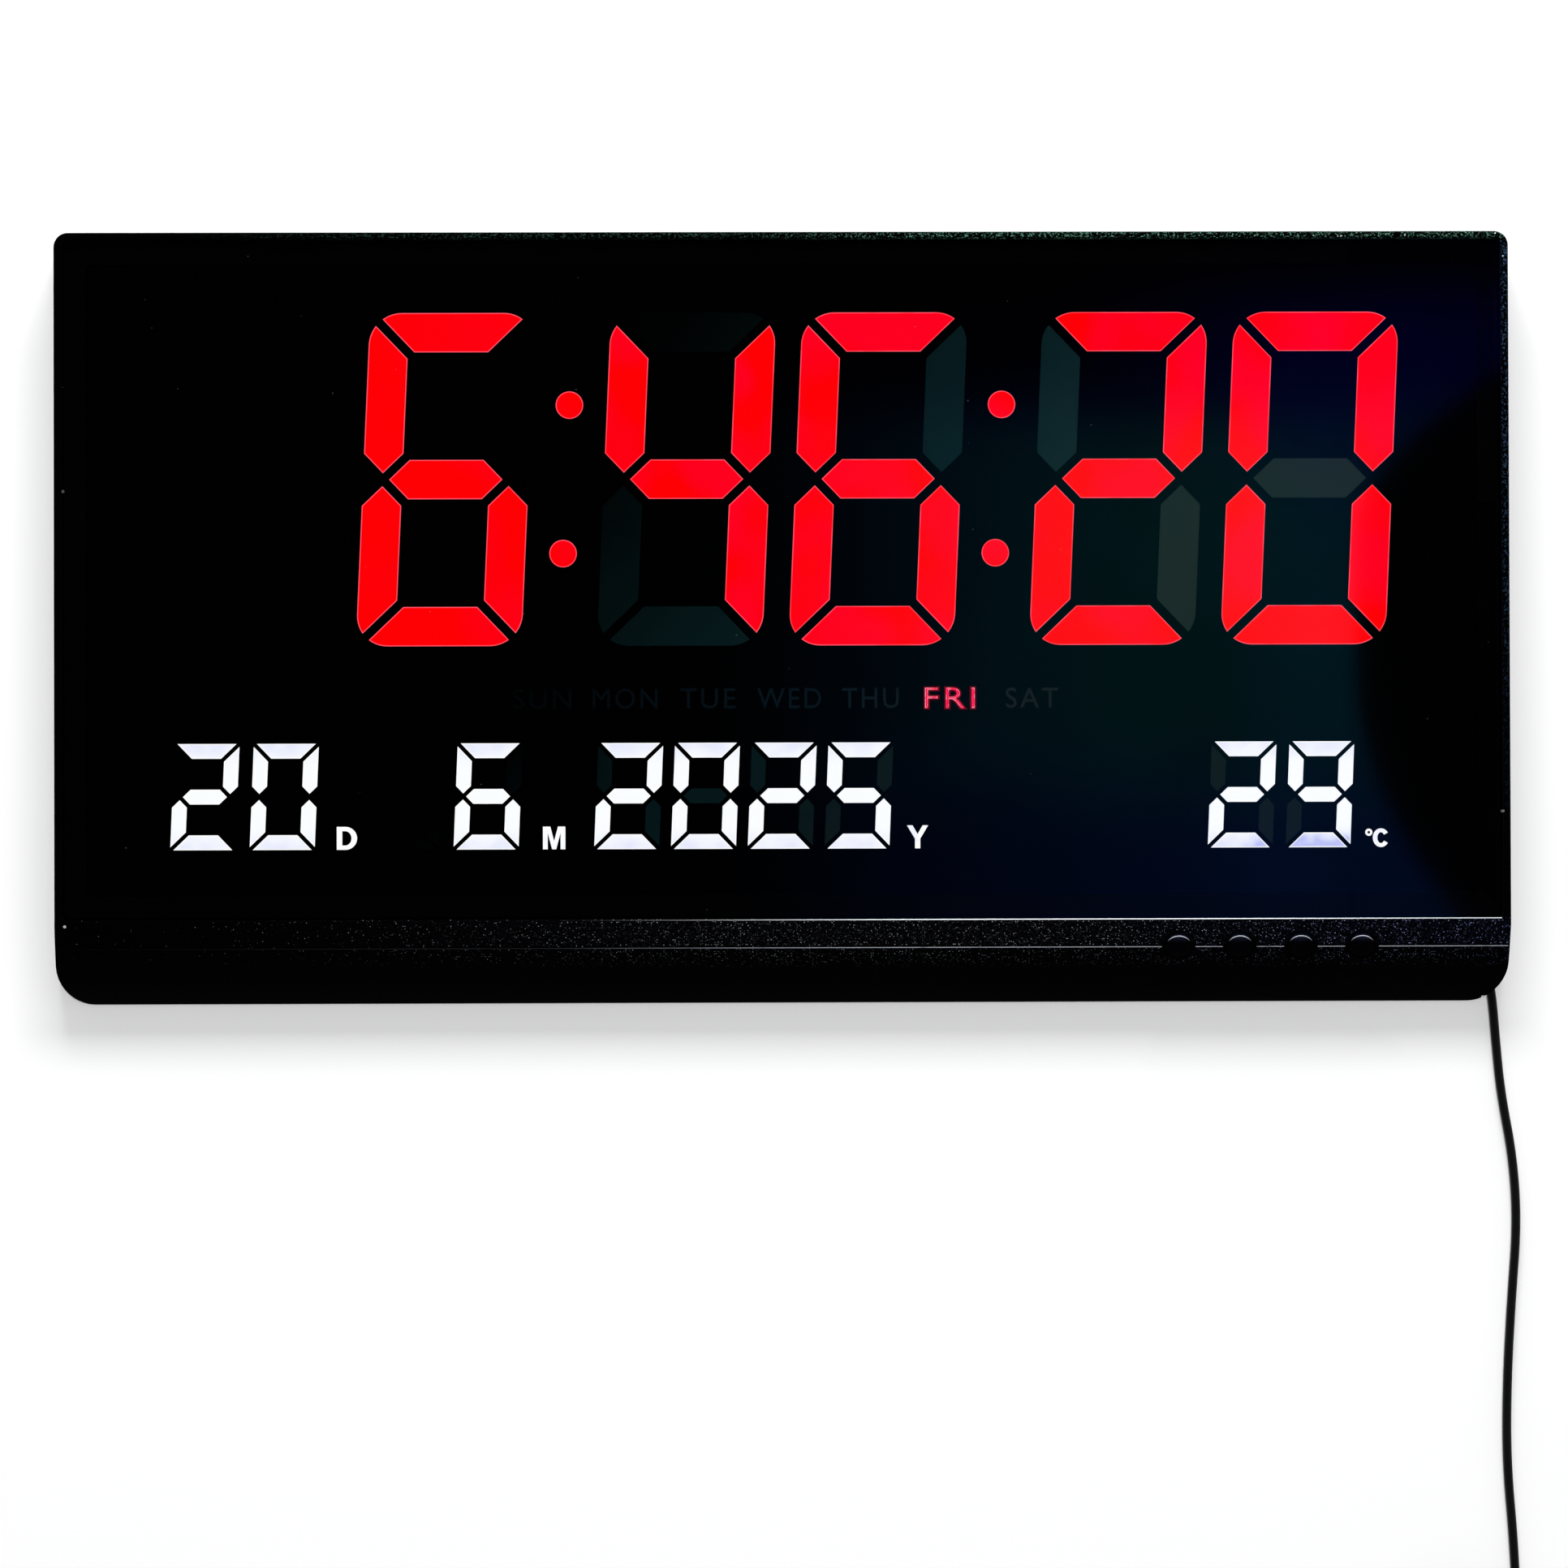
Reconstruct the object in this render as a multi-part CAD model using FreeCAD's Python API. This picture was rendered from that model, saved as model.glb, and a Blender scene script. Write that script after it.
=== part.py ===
import FreeCAD, Part
import math
import os

# Wall-hung LED calendar clock. X is to the right, Z is up, the wall is the plane Y = 0, the front faces -Y.
# Every piece is drawn about the middle of the case's back face. On export it moves down by KEYHOLE_RISE, so
# that the finished part's origin lies midway between the two keyhole entries. Lengths are in millimetres.

V = FreeCAD.Vector

# --- Case
CASE_W = 480.0
CASE_H = 254.0
CASE_D = 30.0
WALL = 2.2
TOP_CORNER_R = 5.0
BOTTOM_CORNER_R = 12.5
FRONT_EDGE_R = 1.2
CHIN_H = 27.3                      # curved chin: from the window's lower edge to the bottom of the case
CHIN_START = math.radians(28.0)    # slope of the chin away from the front plane, at its upper edge
CHIN_FOOT = 2.0                    # flat strip behind the chin, along the wall
PARTING_D = 5.8                    # from the front plane to the joint between the two shells
REVEAL_W = 0.5                     # shadow groove along that joint
REVEAL_D = 0.5
TONGUE_T = 1.2                     # locating tongue of the front frame, inside the rear cover's wall
TONGUE_L = 2.5
TONGUE_GAP = 0.15
TONGUE_SINK = 0.2                  # how far the tongue's root reaches into the frame's wall

# --- Window and its seat
RIM_W = 2.4                        # rim beside and above the window
WINDOW_T = 2.0
WINDOW_RECESS = 0.5
WINDOW_CORNER_R = 2.0
WINDOW_GAP = 0.2                   # play between the window's edge and its pocket
POCKET_CHAMFER = 0.6
TAPE_T = 0.2
TAPE_INSET = 1.0                   # from the pocket's side to the tape
LEDGE_W = 8.0                      # ledge that carries the window's edge
LEDGE_T = 2.0

# --- Light board and main board
BOARD_GAP = 0.4                    # play between the boards and the opening inside the ledge
LIGHT_GAP = 0.15                   # air between the window and the light board
LIGHT_BOARD_T = 9.0
LIGHT_SKIN_T = 2.5                 # front skin left over the hollows inside the large digits
LIGHT_WALL_T = 1.8                 # wall left round those hollows
TILE_T = 3.0                       # depth of the milky resin in the mouth of each well
MAIN_BOARD_T = 1.6
FILM_T = 0.3
FILM_MARGIN = 1.2                  # film past the edge of its wells

# --- Seven-segment digits: width, height, stroke, gap across the mitres, outer corner radius and slant
LARGE = dict(w=54.6, h=110.0, stroke=13.0, gap=3.0, corner=10.5, slant=math.radians(2.6))
SMALL = dict(w=21.4, h=35.0, stroke=4.9, gap=1.4, corner=0.0, slant=math.radians(2.4))
TIME_Z = 45.5
TIME_X = (-174.2, -111.0, -31.6, 31.6, 111.0, 174.2)
DOT_R = 4.55
DOT_X = (-71.3, 71.3)
DOT_RISE = 24.5                    # colon dots above and below the middle of the digits
DATE_Z = -59.0
DAY_X = (-190.5, -164.4)
MONTH_X = (-123.5, -97.3)
YEAR_X = (-51.0, -25.7, -0.4, 24.9)
DEGREES_X = (151.4, 177.1)

# --- Weekday words and unit letters: wells of plain rectangles behind films
WEEKDAY_Z = -26.9
WEEKDAY_X = (-79.4, -52.1, -24.8, 2.0, 28.8, 55.3, 82.1)
WEEKDAY_WELL_W = 24.0
WEEKDAY_WELL_H = 9.0
UNIT_X = (-143.8, -75.6, 44.2, 195.6)
UNIT_Z = -72.7
UNIT_WELL_W = 9.4
UNIT_WELL_H = 9.0

# --- LEDs
RED_LED = (3.5, 0.8, 2.8)
WHITE_LED = (2.0, 0.7, 1.25)

# --- Parts on the back of the main board: size as width, depth, height
CHIP = (14.0, 1.5, 14.0)
CHIP_AT = (-20.0, 5.0)
DRIVER = (10.0, 1.6, 6.0)
DRIVER_X = (-150.0, -90.0, -60.0, 60.0, 90.0, 150.0)
DRIVER_Z = 20.0
CRYSTAL = (8.0, 3.5, 3.5)
CRYSTAL_AT = (-2.0, 5.0)
CELL_R = 10.0
CELL_T = 3.2
CELL_PLAY = 0.1
CELL_AT = (-70.0, -62.0)
HOLDER_R = 11.2
HOLDER_T = 4.4
HOLDER_FLOOR = 0.8
BUZZER_R = 6.0
BUZZER_T = 8.5
BUZZER_HOLE_R = 1.0
BUZZER_AT = (80.0, -62.0)
SENSOR_AT = (-150.0, -70.0)
SENSOR_R = 1.2
SENSOR_L = 9.0
SENSOR_LEG_R = 0.3
SENSOR_LEG_X = 0.8
CAPACITOR_R = 4.0
CAPACITOR_L = 11.0
CAPACITOR_SIDE = 24.2              # from the main board's end to the capacitors
CAPACITOR_Z = (-30.0, -20.0)
HEADER = (10.0, 5.0, 5.8)
HEADER_RISE = 7.3                  # from the main board's lower edge to the header on it
CABLE_W = 8.0
CABLE_T = 0.9
CABLE_LEAVE = 2.7                  # straight start of the cable out of a header
WIRE_R = 0.6
WIRE_GAP = 2.6
WIRE_STEPS = ((0.0, 0.0, 0.0), (0.0, 0.0, 6.0), (-5.0, 0.0, 12.0), (-12.0, -2.0, 15.0))

# --- Screws: shank radius, head radius, head height, length under the head
CASE_SCREW = dict(r=1.5, head_r=2.8, head_h=2.0, length=10.0)
BOARD_SCREW = dict(r=1.2, head_r=2.4, head_h=1.6, length=6.0)
KEY_SCREW = dict(r=0.9, head_r=1.9, head_h=1.3, length=5.0)
SCREW_PLAY = 0.2                   # hole of a fastened piece past the shank's radius
THREAD_PLAY = 0.03                 # pilot hole past the shank's radius
PILOT_OVER = 1.0                   # pilot hole past the shank's end
HEAD_EDGE = 0.4                    # sloped share of a head's height
TIP_SHARE = 0.4                    # radius of a screw's end, as a share of the shank's
CROSS_REACH = 0.6                  # arm of the cross recess, as a share of the head's radius
CROSS_HALF = 0.25                  # half its width, as a share of the shank's radius
CASE_BOSS_R = 3.5
CASE_BOSS_END = 12.0               # from the wall plane to where the front bosses meet the rear tubes
CASE_TUBE_R = 4.2
CASE_TUBE_FLOOR = 2.2
BOARD_SCREW_SIDE = 11.2            # from the main board's end to a screw
BOARD_SCREW_INSET = 4.6            # from the upper and lower edge of the main board
BOSS_INSET = 4.0                   # from the inside of the rim to a boss in the ledge
LOW_BOSS_X = 71.0
LOW_BOSS_SIDE = 26.0               # from the case's side to the outer low bosses
LOW_BOSS_DROP = 5.3                # below the opening's lower edge
TOP_BOSS_X = 80.0
SIDE_BOSS_Z = 10.0

# --- Keyholes and posts of the rear cover
KEYHOLE_X = 160.0
KEYHOLE_RISE = 85.0
KEYHOLE_ENTRY_R = 4.5
KEYHOLE_SLOT_R = 2.1
KEYHOLE_SLOT_L = 8.0
CUP_W = 13.0
CUP_DEPTH = 8.0
CUP_WALL = 1.6
POST_R = 3.0
POSTS = ((-190.0, 45.0), (190.0, 45.0), (-190.0, -45.0), (190.0, -45.0), (0.0, 80.0), (0.0, -60.0))
RIB_T = 1.6
RIB_H = 3.5
RIB_X = (-120.0, -40.0, 40.0, 120.0)
RIB_Z = (-40.0, 40.0)
VENT_W = 1.6
VENT_L = 26.0
VENT_PITCH = 4.0
VENT_COUNT = 6

# --- Buttons: four caps along the joint line, square to the chin
BUTTON_NAMES = ("set", "up", "down", "alarm")
BUTTON_SIDE = 49.0                 # from the case's right side to the last button
BUTTON_PITCH = 20.2
CAP_R = 4.3
CAP_PROUD = 1.5
CAP_SHOULDER = 0.5                 # straight side of the cap above the chin
CAP_PLAY = 0.15
FLANGE_R = 5.2
FLANGE_FROM = 2.8                  # depth of the cap's flange under the chin
FLANGE_T = 1.0
FLANGE_PLAY = 0.4
DISH_R = 5.3
DISH_DEPTH = 0.8
BUTTON_TRAVEL = 0.5
PLUNGER_R = 1.75
PLUNGER_L = 2.4
PLUNGER_PLAY = 0.1
SWITCH_W = 6.0
SWITCH_H = 3.5
SWITCH_GAP = 1.5                   # from the cap's flange to the switch body
KEY_BOARD_W = 14.0
KEY_BOARD_T = 1.6
KEY_BOARD_MARGIN = 2.0             # board past the pillars
PILLAR_W = 6.0
PILLAR_OFFSET = 9.4                # from an end button to the pillar beside it
PILLAR_FOOT = 2.6                  # depth at which the pillars start
PILLAR_EDGE = 1.5                  # from the buttons' row to the pillars' side

# --- Supply socket, plug and their pocket in the back
JACK_SIDE = 7.2                    # from the case's right side to the socket's axis
JACK_W = 9.0
JACK_H = 11.0
JACK_L = 14.0
JACK_NOSE_R = 4.0
JACK_BORE_R = 3.0
JACK_BORE_L = 10.5
JACK_PIN_R = 0.95
PLUG_R = 4.8
PLUG_L = 15.0
PLUG_EDGE_R = 0.8
BARREL_R = 2.75
BARREL_BORE_R = 1.25
BARREL_L = 9.5
POCKET_TOP = -76.0
POCKET_BOTTOM = -116.0
POCKET_PLAY = 0.6                  # around the plug
POCKET_SIDE_PLAY = 0.9             # beside the plug
POCKET_WALL = 1.6
CHANNEL_SIDE = 5.0                 # from the case's right side to the lead's channel
CHANNEL_W = 5.6
CHANNEL_D = 5.0
CHANNEL_STEP_D = 8.4               # deeper start of the channel, where the lead comes out of the pocket
CHANNEL_STEP_L = 5.5
NOSE_PLAY = 0.15

# --- Lead: chosen route from the plug's strain relief down the wall, then the tied coil and the adapter
LEAD_R = 1.5
RELIEF_R = 3.2
RELIEF_TIP_R = 2.0
RELIEF_L = 12.0
RELIEF_GROOVES = 3
GROOVE_AT = 0.6                    # place of a groove in its pitch
GROOVE_SHARE = 0.35                # width of a groove, as a share of the pitch
GROOVE_FLOOR = 0.3                 # floor of the grooves under the relief's tip
ARC_SHARE = 0.45                   # share of the shorter run that a bend takes
LEAD_ROUTE = (
    (232.8, -7.7, -103.0), (232.8, -7.7, -111.0), (234.7, -3.5, -119.0), (236.1, -2.4, -127.5),
    (237.1, -2.5, -141.0), (238.7, -2.5, -158.0), (242.6, -2.5, -179.0), (243.9, -2.5, -201.0),
    (241.9, -2.5, -226.0), (240.3, -2.5, -253.0), (240.0, -2.5, -280.0), (242.3, -2.5, -307.0),
    (243.3, -2.4, -333.5),
)
COIL_X = 223.8
COIL_Z = -342.0
COIL_R = 16.5                      # to the middle of the turns
COIL_BUNDLE = 9.2                  # width of the bundle of turns
COIL_Y = -5.4
TAIL_ROUTE = ((237.6, -10.4, -349.5), (237.9, -11.8, -358.5), (238.1, -12.9, -369.0),
              (238.0, -13.0, -383.0), (238.0, -13.0, -397.0))
TIE_W = 3.6
TIE_T = 0.9
ADAPTER_W = 28.0
ADAPTER_D = 25.0
ADAPTER_L = 52.0
ADAPTER_R = 3.5
ADAPTER_RELIEF_L = 10.0
PIN_R = 2.0
PIN_L = 19.0
PIN_NOSE = 0.5                     # flat end of a pin, as a share of its radius
PIN_PITCH = 18.6
PIN_FLANGE_W = 26.0
PIN_FLANGE_D = 13.0
PIN_FLANGE_R = 6.0
PIN_FLANGE_T = 3.0

# --- Worked out from the above
FRONT = -CASE_D
TOP = CASE_H / 2
BOTTOM = -CASE_H / 2
PARTING = FRONT + PARTING_D
WINDOW_BOTTOM = BOTTOM + CHIN_H
WINDOW_FRONT = FRONT + WINDOW_RECESS
WINDOW_BACK = WINDOW_FRONT + WINDOW_T
LEDGE_FRONT = WINDOW_BACK + TAPE_T
LEDGE_BACK = LEDGE_FRONT + LEDGE_T
LIGHT_FRONT = WINDOW_BACK + LIGHT_GAP
LIGHT_BACK = LIGHT_FRONT + LIGHT_BOARD_T
BOARD_BACK = LIGHT_BACK + MAIN_BOARD_T
OPENING = (CASE_W / 2 - RIM_W - LEDGE_W, WINDOW_BOTTOM + LEDGE_W, TOP - RIM_W - LEDGE_W)
CHIN_CHORD = math.atan2(CASE_D - CHIN_FOOT, CHIN_H)
CHIN_END = 2 * CHIN_CHORD - CHIN_START
CHIN_R = CHIN_H / (math.sin(CHIN_END) - math.sin(CHIN_START))
CHIN_Y = FRONT + CHIN_R * math.cos(CHIN_START)
CHIN_Z = WINDOW_BOTTOM + CHIN_R * math.sin(CHIN_START)
BUTTON_SLOPE = math.acos((CHIN_Y - PARTING) / CHIN_R)
BUTTON_Z = CHIN_Z - CHIN_R * math.sin(BUTTON_SLOPE)
BUTTON_X = CASE_W / 2 - BUTTON_SIDE - (len(BUTTON_NAMES) - 1) * BUTTON_PITCH
PLUNGER_FROM = FLANGE_FROM + FLANGE_T
SWITCH_FROM = PLUNGER_FROM + SWITCH_GAP
KEY_BOARD_FROM = SWITCH_FROM + SWITCH_H
JACK_X = CASE_W / 2 - JACK_SIDE
JACK_Y = -WALL - JACK_H / 2
JACK_Z = POCKET_TOP + POCKET_WALL
POCKET_W = 2 * (PLUG_R + POCKET_SIDE_PLAY)
CHANNEL_X = CASE_W / 2 - CHANNEL_SIDE
FAR = 2 * CASE_W                   # longer than anything that is cut
OVER = 1.0                         # how far a cutter reaches past what it cuts


# --- Helpers
def box(x0, x1, y0, y1, z0, z1):
    return Part.makeBox(x1 - x0, y1 - y0, z1 - z0, V(x0, y0, z0))


def slab(y0, y1):
    """Everything between two depths."""
    return box(-FAR, FAR, y0, y1, -FAR, FAR)


def cylinder(r, start, direction, length):
    return Part.makeCylinder(r, length, V(*start), V(*direction))


def fused(shapes):
    first, *rest = shapes
    return first.fuse(rest).removeSplitter() if rest else first


def outline(corners):
    """A closed wire through corners (point, radius), each rounded by its radius."""
    edges = []
    rounded = []
    for i, (point, radius) in enumerate(corners):
        before, after = corners[i - 1][0], corners[(i + 1) % len(corners)][0]
        a, b = (before - point).normalize(), (after - point).normalize()
        half = a.getAngle(b) / 2
        reach = radius / math.tan(half)
        middle = point + (a + b).normalize() * (radius / math.sin(half) - radius)
        rounded.append((point + a * reach, middle, point + b * reach, radius))
    for i, (start, middle, end, radius) in enumerate(rounded):
        if radius > 0:
            edges.append(Part.Arc(start, middle, end).toShape())
        follows = rounded[(i + 1) % len(rounded)][0]
        if (follows - end).Length > 1e-6:
            edges.append(Part.LineSegment(end, follows).toShape())
    return Part.Wire(edges)


def plate(half_w, bottom, top, r_bottom, r_top, y0, y1):
    """A plate with rounded corners, square to Y."""
    corners = [(V(-half_w, y0, bottom), r_bottom), (V(half_w, y0, bottom), r_bottom),
               (V(half_w, y0, top), r_top), (V(-half_w, y0, top), r_top)]
    return Part.Face(outline(corners)).extrude(V(0, y1 - y0, 0))


def front_wire(half_w, bottom, top, y):
    """The outline of a plate with the window's corners, at one depth."""
    faces = plate(half_w, bottom, top, WINDOW_CORNER_R, WINDOW_CORNER_R, y, y + OVER).Faces
    return min(faces, key=lambda face: face.CenterOfMass.y).OuterWire


def turned(profile, place=None):
    """A solid of revolution about Z from points (radius, height), moved to a placement."""
    points = [V(r, 0, z) for r, z in profile]
    wire = Part.makePolygon(points + points[:1])
    solid = Part.Face(wire).revolve(V(0, 0, 0), V(0, 0, 1), 360)
    if place is not None:
        solid.Placement = place
    return solid


def tube(route, radius, label):
    """A round lead: straight runs joined by tangent arcs, each as large as its two runs allow."""
    points = [V(*p) for p in route]
    edges = []
    radii = []
    at = points[0]
    for before, point, after in zip(points, points[1:], points[2:]):
        a, b = before - point, after - point
        half = a.getAngle(b) / 2
        reach = ARC_SHARE * min(a.Length, b.Length)
        bend = reach * math.tan(half)
        a.normalize()
        b.normalize()
        middle = point + (a + b).normalize() * (bend / math.sin(half) - bend)
        edges.append(Part.LineSegment(at, point + a * reach).toShape())
        edges.append(Part.Arc(point + a * reach, middle, point + b * reach).toShape())
        at = point + b * reach
        radii.append(bend)
    edges.append(Part.LineSegment(at, points[-1]).toShape())
    path = Part.Wire(edges)
    ring = Part.Wire(Part.makeCircle(radius, points[0], points[1] - points[0]))
    solid = path.makePipeShell([ring], True, False)
    share = solid.Volume / (math.pi * radius ** 2 * path.Length)
    print(f"{label}: {path.Length:.1f} mm, radii {[round(r, 1) for r in radii]}, volume share {share:.4f}")
    return solid


# --- Case shells
def envelope(inset):
    """The case's outer form moved in by inset: front outline, side profile and plan in common."""
    half_w, bottom, top = CASE_W / 2 - inset, BOTTOM + inset, TOP - inset
    front, back, edge_r = FRONT + inset, -inset, max(FRONT_EDGE_R - inset, 0.0)
    seen = plate(half_w, bottom, top, BOTTOM_CORNER_R - inset, TOP_CORNER_R - inset, FRONT - OVER, OVER)
    radius = CHIN_R - inset
    start = math.acos((CHIN_Y - front) / radius)
    foot = math.asin((CHIN_Z - bottom) / radius)
    end = min(foot, math.acos((CHIN_Y - back) / radius))
    on_chin = [V(-FAR, CHIN_Y - radius * math.cos(a), CHIN_Z - radius * math.sin(a))
               for a in (start, (start + end) / 2, end)]
    edges = [Part.Arc(*on_chin).toShape()]
    corner = [on_chin[2]]
    if end == foot:
        corner.append(V(-FAR, back, bottom))
    corner += [V(-FAR, back, top), V(-FAR, front + edge_r, top)]
    edges.append(Part.makePolygon(corner))
    if edge_r > 0:
        bow = edge_r * (1 - math.sqrt(0.5))
        middle = V(-FAR, front + bow, top - bow)
        edges.append(Part.Arc(corner[-1], middle, V(-FAR, front, top - edge_r)).toShape())
    edges.append(Part.LineSegment(V(-FAR, front, top - edge_r), on_chin[0]).toShape())
    side = Part.Face(Part.Wire([e for item in edges for e in item.Edges])).extrude(V(2 * FAR, 0, 0))
    plan = outline([(V(-half_w, front, -FAR), edge_r), (V(half_w, front, -FAR), edge_r),
                    (V(half_w, back, -FAR), 0.0), (V(-half_w, back, -FAR), 0.0)])
    return seen.common(side).common(Part.Face(plan).extrude(V(0, 0, 2 * FAR)))


def reveal():
    """The shadow groove along the joint between the shells."""
    groove = slab(PARTING - REVEAL_W / 2, PARTING + REVEAL_W / 2)
    return envelope(-OVER).cut(envelope(REVEAL_D)).common(groove)


def boss_places():
    """(x, z) of the ten case screws."""
    side = CASE_W / 2 - RIM_W - BOSS_INSET
    top = TOP - RIM_W - BOSS_INSET
    low = OPENING[1] - LOW_BOSS_DROP
    upper = [(x, top) for x in (-side, -TOP_BOSS_X, TOP_BOSS_X, side)]
    sides = [(-side, SIDE_BOSS_Z), (side, SIDE_BOSS_Z)]
    outer = CASE_W / 2 - LOW_BOSS_SIDE
    return upper + sides + [(x, low) for x in (-outer, -LOW_BOSS_X, LOW_BOSS_X, outer)]


def button_place(x):
    """Placement with its Z axis going square into the chin at the joint line."""
    turn = FreeCAD.Rotation(V(1, 0, 0), math.degrees(BUTTON_SLOPE) - 90)
    return FreeCAD.Placement(V(x, PARTING, BUTTON_Z), turn)


def button_places():
    return [button_place(BUTTON_X + i * BUTTON_PITCH) for i in range(len(BUTTON_NAMES))]


def button_holes():
    """Dish, guide hole and room for the flange, cut out of both shells."""
    hole = CAP_R + CAP_PLAY
    deep = PLUNGER_FROM + 2 * BUTTON_TRAVEL
    room = FLANGE_R + FLANGE_PLAY
    shelf = FLANGE_FROM - FLANGE_PLAY
    profile = [(0, -DISH_R), (DISH_R, -DISH_R), (DISH_R, DISH_DEPTH), (hole, DISH_DEPTH), (hole, shelf),
               (room, shelf), (room, deep), (0, deep)]
    return [turned(profile, place) for place in button_places()]


def pillar_places():
    """x of the three pillars under the key board; the outer two take a screw."""
    first = BUTTON_X - PILLAR_OFFSET
    last = BUTTON_X + (len(BUTTON_NAMES) - 1) * BUTTON_PITCH + PILLAR_OFFSET
    return first, (first + last) / 2, last


def tongue():
    """A fence behind the ledge that fits inside the rear cover's wall, left out beside the buttons."""
    root = envelope(WALL - TONGUE_SINK).common(slab(LEDGE_BACK - LEDGE_T / 2, PARTING))
    fence = envelope(WALL + TONGUE_GAP).common(slab(PARTING, PARTING + TONGUE_L))
    inner = envelope(WALL + TONGUE_GAP + TONGUE_T)
    first, _, last = pillar_places()
    beside = box(first - PILLAR_W, last + PILLAR_W, FRONT, 0, BOTTOM, WINDOW_BOTTOM + LEDGE_W)
    return root.fuse(fence).cut(inner).cut(beside)


def front_frame():
    half_w, bottom, top = OPENING
    pocket = (CASE_W / 2 - RIM_W, WINDOW_BOTTOM, TOP - RIM_W)
    body = envelope(0).common(slab(FRONT - OVER, PARTING))
    body = body.cut(envelope(WALL).common(slab(LEDGE_BACK, 0)))
    body = body.fuse(tongue())
    body = body.cut(plate(*pocket, WINDOW_CORNER_R, WINDOW_CORNER_R, FRONT - OVER, LEDGE_FRONT))
    body = body.cut(plate(half_w, bottom, top, WINDOW_CORNER_R, WINDOW_CORNER_R, FRONT, LEDGE_BACK + OVER))
    mouth = [front_wire(pocket[0] + c, pocket[1] - c, pocket[2] + c, y)
             for c, y in ((POCKET_CHAMFER, FRONT), (0.0, FRONT + POCKET_CHAMFER))]
    body = body.cut(Part.makeLoft(mouth, True, True))
    for x, z in boss_places():
        boss = cylinder(CASE_BOSS_R, (x, LEDGE_BACK - LEDGE_T / 2, z), (0, 1, 0),
                        -CASE_BOSS_END - LEDGE_BACK + LEDGE_T / 2)
        body = body.fuse(boss)
    for x, z in boss_places():
        depth = CASE_SCREW["length"] - CASE_TUBE_FLOOR + PILOT_OVER
        body = body.cut(cylinder(CASE_SCREW["r"] + THREAD_PLAY, (x, -CASE_BOSS_END, z), (0, -1, 0), depth))
    screwed = (pillar_places()[0], pillar_places()[2])
    for x in pillar_places():
        pillar = box(-PILLAR_W / 2, PILLAR_W / 2, -KEY_BOARD_W / 2, -PILLAR_EDGE, PILLAR_FOOT, KEY_BOARD_FROM)
        pillar.Placement = button_place(x)
        body = body.fuse(pillar)
    for x in screwed:
        tip = KEY_BOARD_FROM + KEY_BOARD_T - KEY_SCREW["length"] - PILOT_OVER
        pilot = Part.makeCylinder(KEY_SCREW["r"] + THREAD_PLAY, KEY_SCREW["length"], V(0, key_screw_v(), tip))
        pilot.Placement = button_place(x)
        body = body.cut(pilot)
    for tool in [reveal()] + button_holes():
        body = body.cut(tool)
    return body


def key_screw_v():
    """Where the key board's screws stand across the board."""
    return -(KEY_BOARD_W / 2 + PILLAR_EDGE) / 2


def keyhole(x):
    """Entry hole and upward slot through the back wall, and the closed cup behind them."""
    floor = -WALL - CUP_DEPTH
    rise = KEYHOLE_RISE + KEYHOLE_SLOT_L
    entry = cylinder(KEYHOLE_ENTRY_R, (x, OVER, KEYHOLE_RISE), (0, -1, 0), WALL + 2 * OVER)
    slot = box(x - KEYHOLE_SLOT_R, x + KEYHOLE_SLOT_R, -WALL - OVER, OVER, KEYHOLE_RISE, rise)
    end = cylinder(KEYHOLE_SLOT_R, (x, OVER, rise), (0, -1, 0), WALL + 2 * OVER)
    low, high = KEYHOLE_RISE - CUP_W / 2, rise + CUP_W / 2
    room = box(x - CUP_W / 2, x + CUP_W / 2, floor, -WALL, low, high)
    cup = box(x - CUP_W / 2 - CUP_WALL, x + CUP_W / 2 + CUP_WALL, floor - CUP_WALL, -WALL / 2,
              low - CUP_WALL, high + CUP_WALL)
    return cup, fused([entry, slot, end, room])


def pocket_box(grow, deeper):
    """The plug's pocket in the back, or with grow and deeper its walls."""
    depth = -JACK_Y + PLUG_R + POCKET_PLAY
    return box(JACK_X - POCKET_W / 2 - grow, JACK_X + POCKET_W / 2 + grow, -depth - deeper, OVER,
               POCKET_BOTTOM - grow, POCKET_TOP + deeper)


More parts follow.
